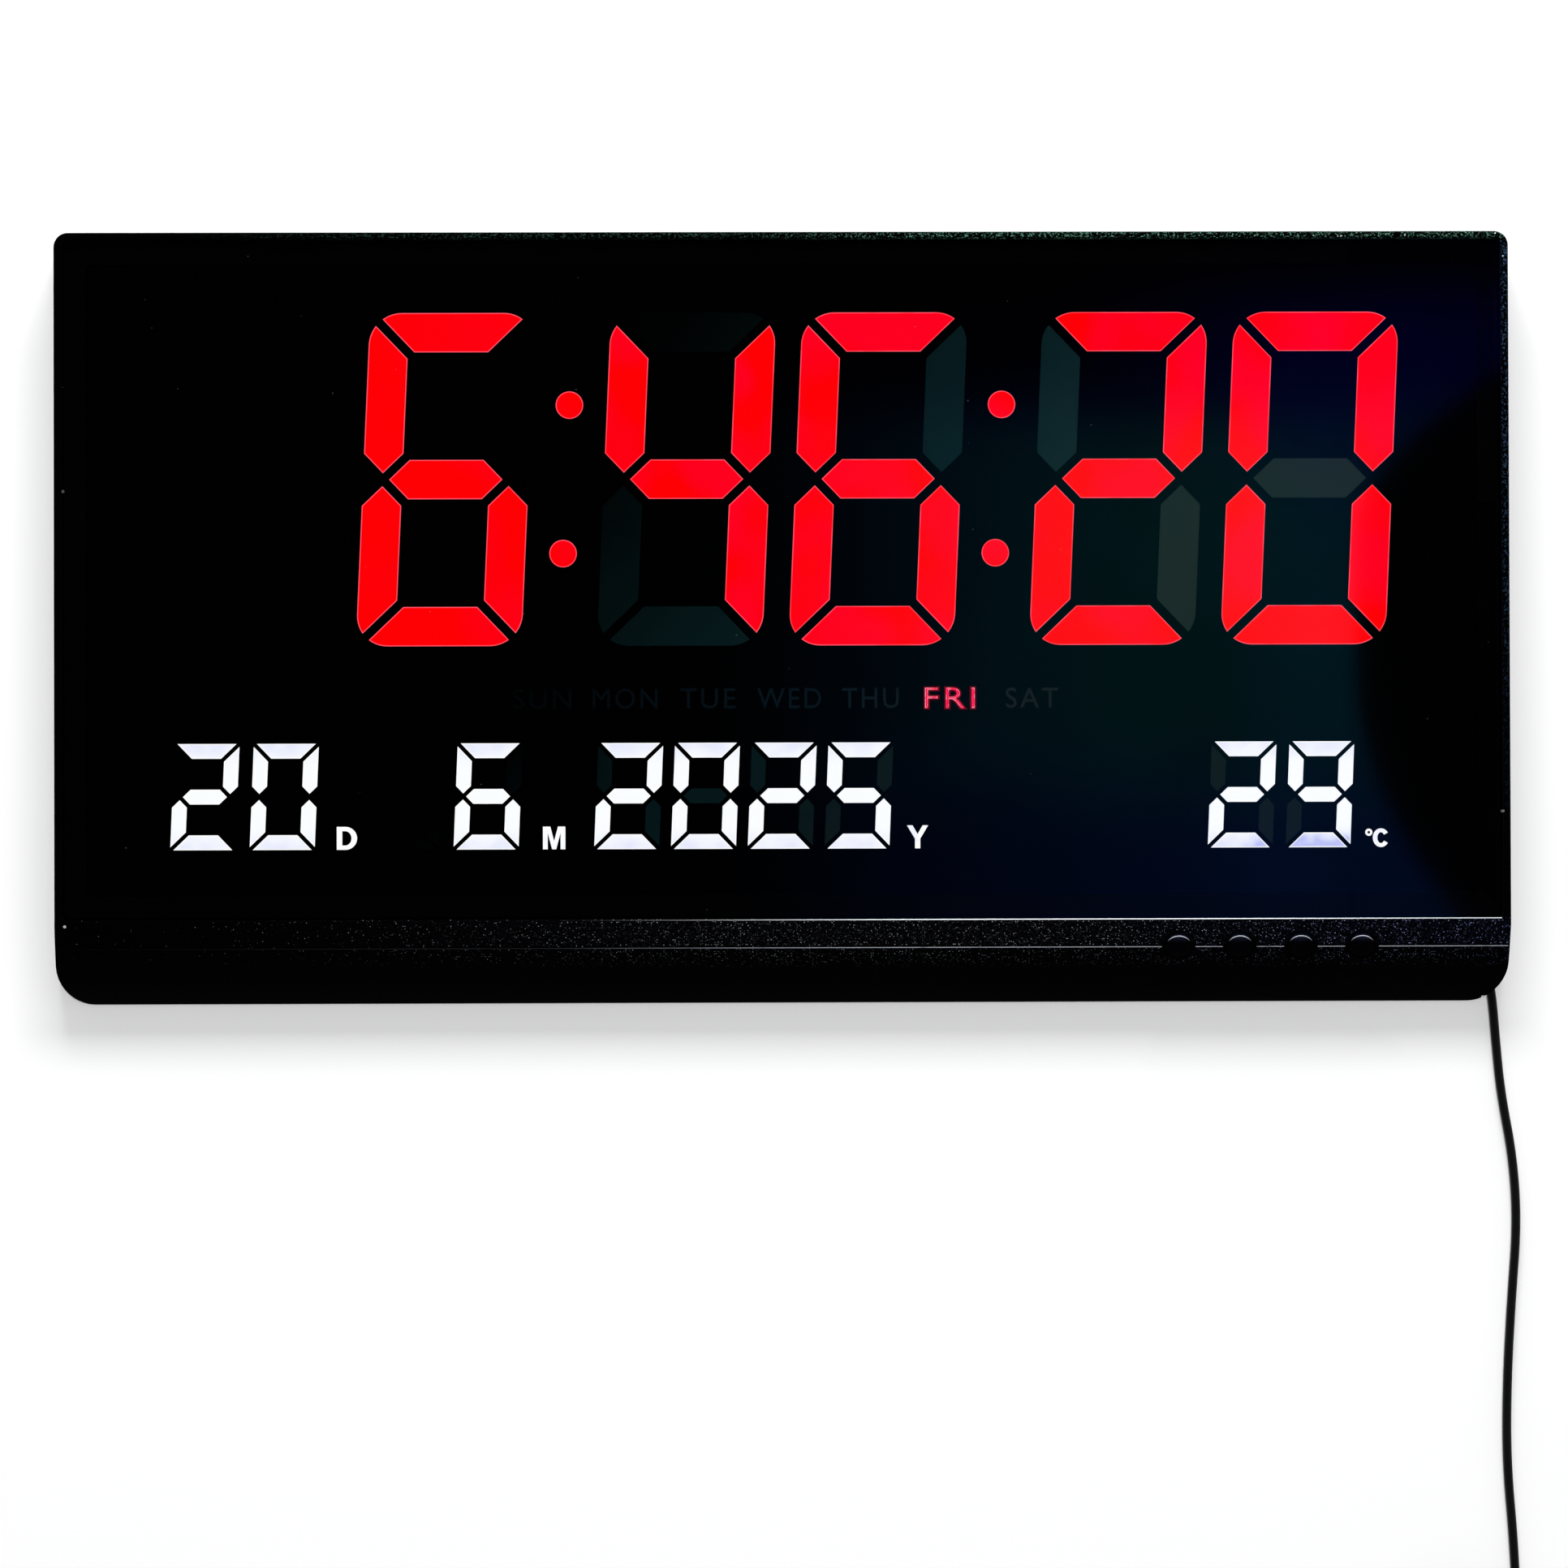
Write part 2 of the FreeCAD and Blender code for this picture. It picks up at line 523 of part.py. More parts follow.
def rear_cover():
    body = envelope(0).common(slab(PARTING, OVER)).cut(envelope(WALL))
    inside = envelope(WALL / 2)
    add = []
    cut = [reveal()] + button_holes()
    seat = -CASE_BOSS_END + CASE_TUBE_FLOOR
    head, shank = CASE_SCREW["head_r"] + SCREW_PLAY, CASE_SCREW["r"] + SCREW_PLAY
    for x, z in boss_places():
        add.append(cylinder(CASE_TUBE_R, (x, -CASE_BOSS_END, z), (0, 1, 0), CASE_BOSS_END - WALL / 2))
        cut.append(cylinder(head, (x, seat, z), (0, 1, 0), CASE_BOSS_END))
        cut.append(cylinder(shank, (x, -CASE_BOSS_END - OVER, z), (0, 1, 0), CASE_BOSS_END))
    for x in (-KEYHOLE_X, KEYHOLE_X):
        cup, hole = keyhole(x)
        add.append(cup)
        cut.append(hole)
    for x, z in POSTS:
        add.append(cylinder(POST_R, (x, BOARD_BACK, z), (0, 1, 0), -BOARD_BACK - WALL / 2))
    for x in RIB_X:
        add.append(box(x - RIB_T / 2, x + RIB_T / 2, -WALL - RIB_H, -WALL / 2, BOTTOM, TOP))
    for z in RIB_Z:
        add.append(box(-FAR, FAR, -WALL - RIB_H, -WALL / 2, z - RIB_T / 2, z + RIB_T / 2))
    add.append(pocket_box(POCKET_WALL, POCKET_WALL))
    side = JACK_X - JACK_W / 2 - NOSE_PLAY
    add.append(box(side - RIB_T, side, -WALL - JACK_H, -WALL / 2, POCKET_TOP, JACK_Z + JACK_L))
    cut.append(pocket_box(0, 0))
    nose = (JACK_X, JACK_Y, POCKET_TOP - OVER)
    cut.append(cylinder(JACK_NOSE_R + NOSE_PLAY, nose, (0, 0, 1), POCKET_WALL + 2 * OVER))
    left, right = CHANNEL_X - CHANNEL_W / 2, CHANNEL_X + CHANNEL_W / 2
    for depth, low in ((CHANNEL_D, BOTTOM - OVER), (CHANNEL_STEP_D, POCKET_BOTTOM - CHANNEL_STEP_L)):
        cut.append(box(left, right, -depth, OVER, low, POCKET_BOTTOM + OVER))
    for x, z in (BUZZER_AT, SENSOR_AT):
        for i in range(VENT_COUNT):
            low = z + (i - (VENT_COUNT - 1) / 2) * VENT_PITCH - VENT_W / 2
            cut.append(box(x - VENT_L / 2, x + VENT_L / 2, -WALL - RIB_H - OVER, OVER, low, low + VENT_W))
    body = body.fuse([piece.common(inside) for piece in add])
    return body.cut(cut)


# --- Window
def display_window():
    half_w, top = CASE_W / 2 - RIM_W - WINDOW_GAP, TOP - RIM_W - WINDOW_GAP
    bottom = WINDOW_BOTTOM + WINDOW_GAP
    return plate(half_w, bottom, top, WINDOW_CORNER_R, WINDOW_CORNER_R, WINDOW_FRONT, WINDOW_BACK)


def window_tape():
    half_w, bottom, top = OPENING
    wide = LEDGE_W - TAPE_INSET
    corners = (WINDOW_CORNER_R, WINDOW_CORNER_R)
    outer = plate(half_w + wide, bottom - wide, top + wide, *corners, WINDOW_BACK, LEDGE_FRONT)
    return outer.cut(plate(half_w, bottom, top, *corners, WINDOW_BACK - OVER, LEDGE_FRONT + OVER))


# --- Digits
def segment(letter, w, h, stroke, gap, corner, slant):
    """Outline of one segment as (kind, points) steps about the digit's middle.

    The strokes lie on a figure of eight of straight bars. Their ends are cut at 45 degrees, gap apart, so the
    two bars of a corner meet in a mitre and the bars at the middle end in points. Outer corners are rounded.
    """
    cut = gap / math.sqrt(2)
    x, z = w / 2, h / 2
    if letter == "g":
        tip = x - stroke / 2 - cut
        return [(-tip, 0), (-tip + stroke / 2, stroke / 2), (tip - stroke / 2, stroke / 2), (tip, 0),
                (tip - stroke / 2, -stroke / 2), (-tip + stroke / 2, -stroke / 2)], {}
    turn = math.acos(gap / 2 / corner) - math.pi / 4 if corner > 0 else 0.0

    def on_corner(angle):
        return -x + corner - corner * math.cos(angle), z - corner + corner * math.sin(angle)

    if letter in "ad":
        points = [(-x + stroke + cut, z - stroke), (x - stroke - cut, z - stroke)]
        arcs = {}
        if corner > 0:
            angles = (math.pi / 2 - turn, math.pi / 2 - turn / 2, math.pi / 2)
            start, middle, end = [on_corner(angle) for angle in angles]
            points += [(-start[0], start[1]), (-end[0], end[1]), end, start]
            arcs = {2: (-middle[0], middle[1]), 4: middle}
        else:
            points += [(x - cut, z), (-x + cut, z)]
    else:
        points = [(-x + stroke / 2, cut), (-x + stroke, stroke / 2 + cut), (-x + stroke, z - stroke - cut)]
        arcs = {}
        if corner > 0:
            points += [on_corner(turn), on_corner(0)]
            arcs = {3: on_corner(turn / 2)}
        else:
            points.append((-x, z - cut))
        points.append((-x, stroke / 2 + cut))
    flip_x = -1 if letter in "bc" else 1
    flip_z = -1 if letter in "cde" else 1
    return ([(px * flip_x, pz * flip_z) for px, pz in points],
            {i: (px * flip_x, pz * flip_z) for i, (px, pz) in arcs.items()})


def segment_wire(letter, style, x, z, y):
    """The segment's outline as a wire at its place, leaning by the slant."""
    points, arcs = segment(letter, **style)
    lean = math.tan(style["slant"])

    def place(point):
        return V(x + point[0] + point[1] * lean, y, z + point[1])

    edges = []
    for i, point in enumerate(points):
        follows = points[(i + 1) % len(points)]
        if i in arcs:
            edges.append(Part.Arc(place(point), place(arcs[i]), place(follows)).toShape())
        else:
            edges.append(Part.LineSegment(place(point), place(follows)).toShape())
    return Part.Wire(edges)


def digit_wires(style, xs, z, y):
    return [segment_wire(letter, style, x, z, y) for x in xs for letter in "abcdefg"]


def dot_places():
    lean = math.tan(LARGE["slant"])
    return [(x + side * DOT_RISE * lean, TIME_Z + side * DOT_RISE) for x in DOT_X for side in (1, -1)]


def time_wires(y):
    return digit_wires(LARGE, TIME_X, TIME_Z, y)


def dot_wires(y):
    return [Part.Wire(Part.makeCircle(DOT_R, V(x, y, z), V(0, 1, 0))) for x, z in dot_places()]


def date_xs():
    return DAY_X + MONTH_X + YEAR_X + DEGREES_X


def word_wells():
    """(x, z, width, height) of the rectangular wells behind the films."""
    days = [(x, WEEKDAY_Z, WEEKDAY_WELL_W, WEEKDAY_WELL_H) for x in WEEKDAY_X]
    return days, [(x, UNIT_Z, UNIT_WELL_W, UNIT_WELL_H) for x in UNIT_X]


def rectangle(x, z, w, h, y):
    return outline([(V(x - w / 2, y, z - h / 2), 0.0), (V(x + w / 2, y, z - h / 2), 0.0),
                    (V(x + w / 2, y, z + h / 2), 0.0), (V(x - w / 2, y, z + h / 2), 0.0)])


def film(wells):
    """A strip over a row of wells, flush with the light board's front."""
    x0, x1 = wells[0][0] - wells[0][2] / 2 - FILM_MARGIN, wells[-1][0] + wells[-1][2] / 2 + FILM_MARGIN
    z, half = wells[0][1], wells[0][3] / 2 + FILM_MARGIN
    return box(x0, x1, LIGHT_FRONT, LIGHT_FRONT + FILM_T, z - half, z + half)


def board_outline():
    half_w, bottom, top = OPENING
    return half_w - BOARD_GAP, bottom + BOARD_GAP, top - BOARD_GAP


def board_screw_places():
    half_w, bottom, top = board_outline()
    low, high = bottom + BOARD_SCREW_INSET, top - BOARD_SCREW_INSET
    ends = [(side * (half_w - BOARD_SCREW_SIDE), z) for side in (-1, 1) for z in (high, SIDE_BOSS_Z, low)]
    return ends + [(0.0, high), (0.0, low)]


def hollows():
    """Pockets from behind inside the large digits, leaning with them, that save resin and weight."""
    lean = math.tan(LARGE["slant"])
    half_w = LARGE["w"] / 2 - LARGE["stroke"] - LIGHT_WALL_T
    low, high = LARGE["stroke"] / 2 + LIGHT_WALL_T, LARGE["h"] / 2 - LARGE["stroke"] - LIGHT_WALL_T
    pockets = []
    for x in TIME_X:
        for z0, z1 in ((low, high), (-high, -low)):
            ends = ((-half_w, z0), (half_w, z0), (half_w, z1), (-half_w, z1))
            ring = [(V(x + px + pz * lean, LIGHT_BACK, TIME_Z + pz), 0.0) for px, pz in ends]
            pockets.append(Part.Face(outline(ring)).extrude(V(0, LIGHT_SKIN_T - LIGHT_BOARD_T, 0)))
    return pockets


def light_board():
    y = LIGHT_FRONT
    half_w, bottom, top = board_outline()
    days, units = word_wells()
    wells = time_wires(y) + dot_wires(y) + digit_wires(SMALL, date_xs(), DATE_Z, y)
    wells += [rectangle(*well, y) for well in days + units]
    face = Part.Face([front_wire(half_w, bottom, top, y)] + wells)
    face.validate()
    body = face.extrude(V(0, LIGHT_BOARD_T, 0))
    tools = [film(days)] + [film([unit]) for unit in units] + hollows()
    for x, z in board_screw_places():
        pilot = BOARD_SCREW["length"] - MAIN_BOARD_T + PILOT_OVER
        tools.append(cylinder(BOARD_SCREW["r"] + THREAD_PLAY, (x, LIGHT_BACK, z), (0, -1, 0), pilot))
    return body.cut(tools)


def tiles(wires):
    return Part.makeCompound([Part.Face(wire).extrude(V(0, TILE_T, 0)) for wire in wires])


def main_board():
    half_w, bottom, top = board_outline()
    body = plate(half_w, bottom, top, WINDOW_CORNER_R, WINDOW_CORNER_R, LIGHT_BACK, BOARD_BACK)
    r, length = BOARD_SCREW["r"] + SCREW_PLAY, MAIN_BOARD_T + 2 * OVER
    starts = [(x, LIGHT_BACK - OVER, z) for x, z in board_screw_places()]
    return body.cut([cylinder(r, start, (0, 1, 0), length) for start in starts])


def lamp(size, x, z, upright=False):
    w, t, h = size if not upright else (size[2], size[1], size[0])
    return box(x - w / 2, x + w / 2, LIGHT_BACK - t, LIGHT_BACK, z - h / 2, z + h / 2)


def digit_lamps(style, xs, z, size, spread):
    """Lamps on the middle lines of the seven bars, at each share in spread of the bar's half length."""
    half_w, half_h = (style["w"] - style["stroke"]) / 2, (style["h"] - style["stroke"]) / 2
    lean = math.tan(style["slant"])
    lamps = []
    for x in xs:
        for share in spread:
            for level in (-1, 0, 1):
                lamps.append(lamp(size, x + share * half_w + level * half_h * lean, z + level * half_h))
            for side in (-1, 1):
                for level in (-0.5, 0.5):
                    rise = (level + share / 2) * half_h
                    lamps.append(lamp(size, x + side * half_w + rise * lean, z + rise, True))
    return lamps


def red_leds():
    days, _ = word_wells()
    lamps = digit_lamps(LARGE, TIME_X, TIME_Z, RED_LED, (-0.4, 0.4))
    lamps += [lamp(RED_LED, x, z) for x, z in dot_places()]
    return Part.makeCompound(lamps + [lamp(RED_LED, x, z) for x, z, _, _ in days])


def white_leds():
    _, units = word_wells()
    lamps = digit_lamps(SMALL, date_xs(), DATE_Z, WHITE_LED, (0.0,))
    return Part.makeCompound(lamps + [lamp(WHITE_LED, x, z) for x, z, _, _ in units])


# --- Parts on the back of the main board
def on_board(size, x, z):
    w, t, h = size
    return box(x - w / 2, x + w / 2, BOARD_BACK, BOARD_BACK + t, z - h / 2, z + h / 2)


def can(x, z, radius, length, start=0.0):
    return cylinder(radius, (x, BOARD_BACK + start, z), (0, 1, 0), length)


def coin_cell_holder():
    x, z = CELL_AT
    ring = can(x, z, HOLDER_R, HOLDER_T).cut(can(x, z, CELL_R + CELL_PLAY, HOLDER_T, HOLDER_FLOOR))
    return ring.cut(box(x - CELL_R / 2, x + CELL_R / 2, BOARD_BACK + HOLDER_FLOOR, 0, z, z + 2 * HOLDER_R))


def buzzer():
    hole = can(*BUZZER_AT, BUZZER_HOLE_R, BUZZER_T, BUZZER_T - BUZZER_HOLE_R)
    return can(*BUZZER_AT, BUZZER_R, BUZZER_T).cut(hole)


def capacitors():
    x = board_outline()[0] - CAPACITOR_SIDE
    return Part.makeCompound([can(x, z, CAPACITOR_R, CAPACITOR_L) for z in CAPACITOR_Z])


def temperature_sensor():
    """A bead on two legs that bring it near the vents of the back wall."""
    x, z = SENSOR_AT
    legs = [can(x + side, z, SENSOR_LEG_R, SENSOR_L) for side in (-SENSOR_LEG_X, SENSOR_LEG_X)]
    bead = Part.makeSphere(SENSOR_R, V(x, BOARD_BACK + SENSOR_L, z))
    return fused(legs + [bead])


def key_header():
    w, t, h = HEADER
    back = KEY_BOARD_FROM + KEY_BOARD_T
    header = box(-w / 2, w / 2, -h / 2, h / 2, back, back + t)
    header.Placement = button_place(pillar_places()[1])
    return header


def main_header_z():
    return board_outline()[1] + HEADER_RISE


def main_header():
    return on_board(HEADER, pillar_places()[1], main_header_z())


def key_cable():
    """A flat cable from the key board's header to the main board's: a strip of even thickness, bent."""
    x = pillar_places()[1]
    start = button_place(x).multVec(V(0, 0, KEY_BOARD_FROM + KEY_BOARD_T + HEADER[1]))
    leave = V(0, math.cos(BUTTON_SLOPE), math.sin(BUTTON_SLOPE))
    end = V(x, BOARD_BACK + HEADER[1], main_header_z())
    bend = V(x, (start.y + leave.y * CABLE_LEAVE - WALL) / 2, (start.z + end.z) / 2)
    line = [start, start + leave * CABLE_LEAVE, bend, end + V(0, CABLE_LEAVE, 0), end]
    across = []
    for i, point in enumerate(line):
        runs = [(b - a).normalize() for a, b in zip(line[max(i - 1, 0):], line[max(i - 1, 0) + 1:i + 2])]
        normals = [V(0, -run.z, run.y) for run in runs]
        middle = (normals[0] + normals[-1]).normalize()
        across.append((point, middle * (CABLE_T / 2 / middle.dot(normals[0]))))
    ring = [p + n for p, n in across] + [p - n for p, n in reversed(across)]
    ring = [p - V(CABLE_W / 2, 0, 0) for p in ring]
    return Part.Face(Part.makePolygon(ring + ring[:1])).extrude(V(CABLE_W, 0, 0))


def dc_jack():
    half_w, half_h = JACK_W / 2, JACK_H / 2
    nose = cylinder(JACK_NOSE_R, (JACK_X, JACK_Y, POCKET_TOP), (0, 0, 1), JACK_Z - POCKET_TOP + OVER)
    body = box(JACK_X - half_w, JACK_X + half_w, JACK_Y - half_h, JACK_Y + half_h, JACK_Z, JACK_Z + JACK_L)
    bore = cylinder(JACK_BORE_R, (JACK_X, JACK_Y, POCKET_TOP - OVER), (0, 0, 1), JACK_BORE_L + OVER)
    pin = cylinder(JACK_PIN_R, (JACK_X, JACK_Y, POCKET_TOP + OVER), (0, 0, 1), JACK_BORE_L)
    return body.fuse(nose).cut(bore).fuse(pin)


def jack_wires():
    """Two wires from the jack's upper end to the main board."""
    top = JACK_Z + JACK_L
    wires = []
    for i, side in enumerate((-1, 1)):
        x = JACK_X - JACK_W / 4 + side * WIRE_GAP / 2
        route = [(x + dx, JACK_Y + dy, top + dz) for dx, dy, dz in WIRE_STEPS]
        route.append((route[-1][0], BOARD_BACK, route[-1][2]))
        wires.append(tube(route, WIRE_R, f"jack wire {i + 1}"))
    return Part.makeCompound(wires)


# --- Key board
def key_board():
    first, _, last = pillar_places()
    half = (last - first) / 2 + PILLAR_W / 2 + KEY_BOARD_MARGIN
    back = KEY_BOARD_FROM + KEY_BOARD_T
    body = box(-half, half, -KEY_BOARD_W / 2, KEY_BOARD_W / 2, KEY_BOARD_FROM, back)
    for side in (-1, 1):
        x = side * (last - first) / 2
        body = body.cut(Part.makeCylinder(KEY_SCREW["r"] + SCREW_PLAY, FAR, V(x, key_screw_v(), 0)))
    body.Placement = button_place((first + last) / 2)
    return body


def switch_bodies():
    half = SWITCH_W / 2
    room = PLUNGER_FROM + PLUNGER_L + BUTTON_TRAVEL + PLUNGER_PLAY
    bodies = []
    for place in button_places():
        body = box(-half, half, -half, half, SWITCH_FROM, KEY_BOARD_FROM)
        body = body.cut(Part.makeCylinder(PLUNGER_R + PLUNGER_PLAY, room - SWITCH_FROM, V(0, 0, SWITCH_FROM)))
        body.Placement = place
        bodies.append(body)
    return Part.makeCompound(bodies)


def button_cap(place):
    """A domed cap with a straight skirt and a flange that stays under the chin."""
    crown, shoulder = V(0, 0, -CAP_PROUD), V(CAP_R, 0, -CAP_SHOULDER)
    rise = CAP_PROUD - CAP_SHOULDER
    ball = (CAP_R ** 2 + rise ** 2) / (2 * rise)
    half = math.asin(CAP_R / ball) / 2
    middle = V(ball * math.sin(half), 0, ball - CAP_PROUD - ball * math.cos(half))
    deep = FLANGE_FROM + FLANGE_T
    rest = [shoulder, V(CAP_R, 0, FLANGE_FROM), V(FLANGE_R, 0, FLANGE_FROM), V(FLANGE_R, 0, deep),
            V(0, 0, deep), crown]
    wire = Part.Wire([Part.Arc(crown, middle, shoulder).toShape()] + Part.makePolygon(rest).Edges)
    cap = Part.Face(wire).revolve(V(0, 0, 0), V(0, 0, 1), 360)
    cap.Placement = place
    return cap


def plunger(place):
    body = Part.makeCylinder(PLUNGER_R, PLUNGER_L, V(0, 0, PLUNGER_FROM))
    body.Placement = place
    return body


# --- Screws
def screw(size, place):
    """A pan-head screw with a cross recess: head from 0 to head_h along +Z, shank the other way."""
    r, head_r, head_h, length = size["r"], size["head_r"], size["head_h"], size["length"]
    edge = head_h * HEAD_EDGE
    profile = [(0, -length), (r * TIP_SHARE, -length), (r, -length + r), (r, 0), (head_r, 0),
               (head_r, head_h - edge), (head_r - edge, head_h), (0, head_h)]
    body = turned(profile)
    arm, half = head_r * CROSS_REACH, r * CROSS_HALF
    for w, d in ((arm, half), (half, arm)):
        body = body.cut(box(-w, w, -d, d, head_h / 2, head_h + OVER))
    body.Placement = place
    return body


def towards_back(x, y, z):
    return FreeCAD.Placement(V(x, y, z), FreeCAD.Rotation(V(1, 0, 0), -90))


def case_screws():
    seat = -CASE_BOSS_END + CASE_TUBE_FLOOR
    return Part.makeCompound([screw(CASE_SCREW, towards_back(x, seat, z)) for x, z in boss_places()])


def board_screws():
    places = [towards_back(x, BOARD_BACK, z) for x, z in board_screw_places()]
    return Part.makeCompound([screw(BOARD_SCREW, place) for place in places])


def key_board_screws():
    first, _, last = pillar_places()
    seat = FreeCAD.Placement(V(0, key_screw_v(), KEY_BOARD_FROM + KEY_BOARD_T), FreeCAD.Rotation())
    return Part.makeCompound([screw(KEY_SCREW, button_place(x).multiply(seat)) for x in (first, last)])


# --- Plug, lead and adapter
def plug_bottom():
    """Height of the plug's lower end."""
    return POCKET_TOP - PLUG_L


def upward(x, y, z):
    return FreeCAD.Placement(V(x, y, z), FreeCAD.Rotation())


def dc_plug_body():
    edge, side = PLUG_EDGE_R, PLUG_R - PLUG_EDGE_R
    profile = [(0, 0), (side, 0), (PLUG_R, edge), (PLUG_R, PLUG_L - edge), (side, PLUG_L), (0, PLUG_L)]
    return turned(profile, upward(JACK_X, JACK_Y, plug_bottom()))


def dc_plug_barrel():
    return turned([(BARREL_BORE_R, 0), (BARREL_R, 0), (BARREL_R, BARREL_L), (BARREL_BORE_R, BARREL_L)],
                  upward(JACK_X, JACK_Y, POCKET_TOP))


def plug_relief():
    """A tapered strain relief with grooves cut round it, from its tip up to the plug."""
    length, wide, tip = RELIEF_L, RELIEF_R, RELIEF_TIP_R
    pitch = length / (RELIEF_GROOVES + 1)
    core = Part.makeCylinder(tip - GROOVE_FLOOR, FAR)
    body = turned([(0, 0), (tip, 0), (wide, length), (0, length)])
    for i in range(RELIEF_GROOVES):
        ring = Part.makeCylinder(wide + OVER, pitch * GROOVE_SHARE, V(0, 0, pitch * (i + GROOVE_AT)))
        body = body.cut(ring.cut(core))
    body.Placement = upward(JACK_X, JACK_Y, plug_bottom() - length)
    return body


def lead_coil():
    """The outer form of the wound turns, tied flat against the wall."""
    half, corner = COIL_BUNDLE / 2, COIL_BUNDLE / 4
    section = outline([(V(COIL_R - half, -half, 0), corner), (V(COIL_R + half, -half, 0), corner),
                       (V(COIL_R + half, half, 0), corner), (V(COIL_R - half, half, 0), corner)])
    ring = Part.Face(section).revolve(V(0, 0, 0), V(0, 1, 0), 360)
    ring.translate(V(COIL_X, COIL_Y, COIL_Z))
    return ring


def lead_tie():
    """A flat tie round the bundle, on the side away from the lead."""
    x = COIL_X - COIL_R
    half = COIL_BUNDLE / 2
    outer = box(x - half - TIE_T, x + half + TIE_T, COIL_Y - half - TIE_T, min(COIL_Y + half + TIE_T, 0.0),
                COIL_Z - TIE_W / 2, COIL_Z + TIE_W / 2)
    return outer.cut(lead_coil())


def adapter_place():
    """The top of the adapter, under its strain relief."""
    x, y, z = TAIL_ROUTE[-1]
    return x, y, z - ADAPTER_RELIEF_L


def power_adapter():
    x, y, top = adapter_place()
    low = top - ADAPTER_L
    half_w, half_d = ADAPTER_W / 2, ADAPTER_D / 2
    shell = box(x - half_w, x + half_w, y - half_d, y + half_d, low + PIN_FLANGE_T, top)
    shell = shell.makeFillet(ADAPTER_R, shell.Edges)
    half_w, half_d = PIN_FLANGE_W / 2, PIN_FLANGE_D / 2
    foot = box(x - half_w, x + half_w, y - half_d, y + half_d, low, low + PIN_FLANGE_T + ADAPTER_R)
    upright = [edge for edge in foot.Edges if abs(edge.tangentAt(edge.FirstParameter).z) > 0.5]
    return shell.fuse(foot.makeFillet(PIN_FLANGE_R, upright))


def adapter_pins():
    x, y, top = adapter_place()
    nose = PIN_R * PIN_NOSE
    profile = [(0, 0), (nose, 0), (PIN_R, PIN_R - nose), (PIN_R, PIN_L), (0, PIN_L)]
    low = top - ADAPTER_L - PIN_L
    return Part.makeCompound([turned(profile, upward(x + side * PIN_PITCH / 2, y, low)) for side in (-1, 1)])


def adapter_relief():
    """A plain tapered strain relief that widens down into the adapter."""
    profile = [(0, 0), (RELIEF_R, 0), (RELIEF_TIP_R, ADAPTER_RELIEF_L), (0, ADAPTER_RELIEF_L)]
    return turned(profile, upward(*adapter_place()))


def save(name, shape):
    shape = shape.copy()
    shape.translate(V(0, 0, -KEYHOLE_RISE))
    shape.exportStep(f"parts/{name}.step")
    volume = sum(solid.Volume for solid in shape.Solids) / 1000
    print(f"{name}: {len(shape.Solids)} solids, {volume:.2f} cm3, valid {shape.isValid()}")


def main():
    os.makedirs("parts", exist_ok=True)
    days, units = word_wells()
    save("front_frame", front_frame())
    save("rear_cover", rear_cover())
    save("display_window", display_window())
    save("window_tape", window_tape())
    save("light_board", light_board())
    save("time_diffusers", tiles(time_wires(LIGHT_FRONT) + dot_wires(LIGHT_FRONT)))
    save("date_diffusers", tiles(digit_wires(SMALL, date_xs(), DATE_Z, LIGHT_FRONT)))
    save("weekday_film", film(days))
    save("unit_films", Part.makeCompound([film([unit]) for unit in units]))
    save("main_board", main_board())
    save("red_leds", red_leds())
    save("white_leds", white_leds())
    save("controller_chip", on_board(CHIP, *CHIP_AT))
    save("driver_chips", Part.makeCompound([on_board(DRIVER, x, DRIVER_Z) for x in DRIVER_X]))
    save("clock_crystal", on_board(CRYSTAL, *CRYSTAL_AT))
    save("coin_cell_holder", coin_cell_holder())
    save("coin_cell", can(*CELL_AT, CELL_R, CELL_T, HOLDER_FLOOR))
    save("buzzer", buzzer())
    save("temperature_sensor", temperature_sensor())
    save("capacitors", capacitors())
    save("dc_jack", dc_jack())
    save("jack_wires", jack_wires())
    save("key_board", key_board())
    save("switch_bodies", switch_bodies())
    save("cable_headers", Part.makeCompound([key_header(), main_header()]))
    save("key_cable", key_cable())
    save("case_screws", case_screws())
    save("board_screws", board_screws())
    save("key_board_screws", key_board_screws())
    for name, place in zip(BUTTON_NAMES, button_places()):
        save(f"{name}_button_cap", button_cap(place))
        save(f"{name}_switch_plunger", plunger(place))
    save("dc_plug_barrel", dc_plug_barrel())
    save("dc_plug_body", dc_plug_body())
    save("plug_strain_relief", plug_relief())
    save("dc_lead", tube(LEAD_ROUTE, LEAD_R, "lead"))
    save("dc_lead_coil", lead_coil())
    save("dc_lead_tail", tube(TAIL_ROUTE, LEAD_R, "tail"))
    save("lead_tie", lead_tie())
    save("adapter_strain_relief", adapter_relief())
    save("power_adapter", power_adapter())
    save("adapter_pins", adapter_pins())


main()
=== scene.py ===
import math

import bpy
import numpy as np
from mathutils import Matrix, Vector


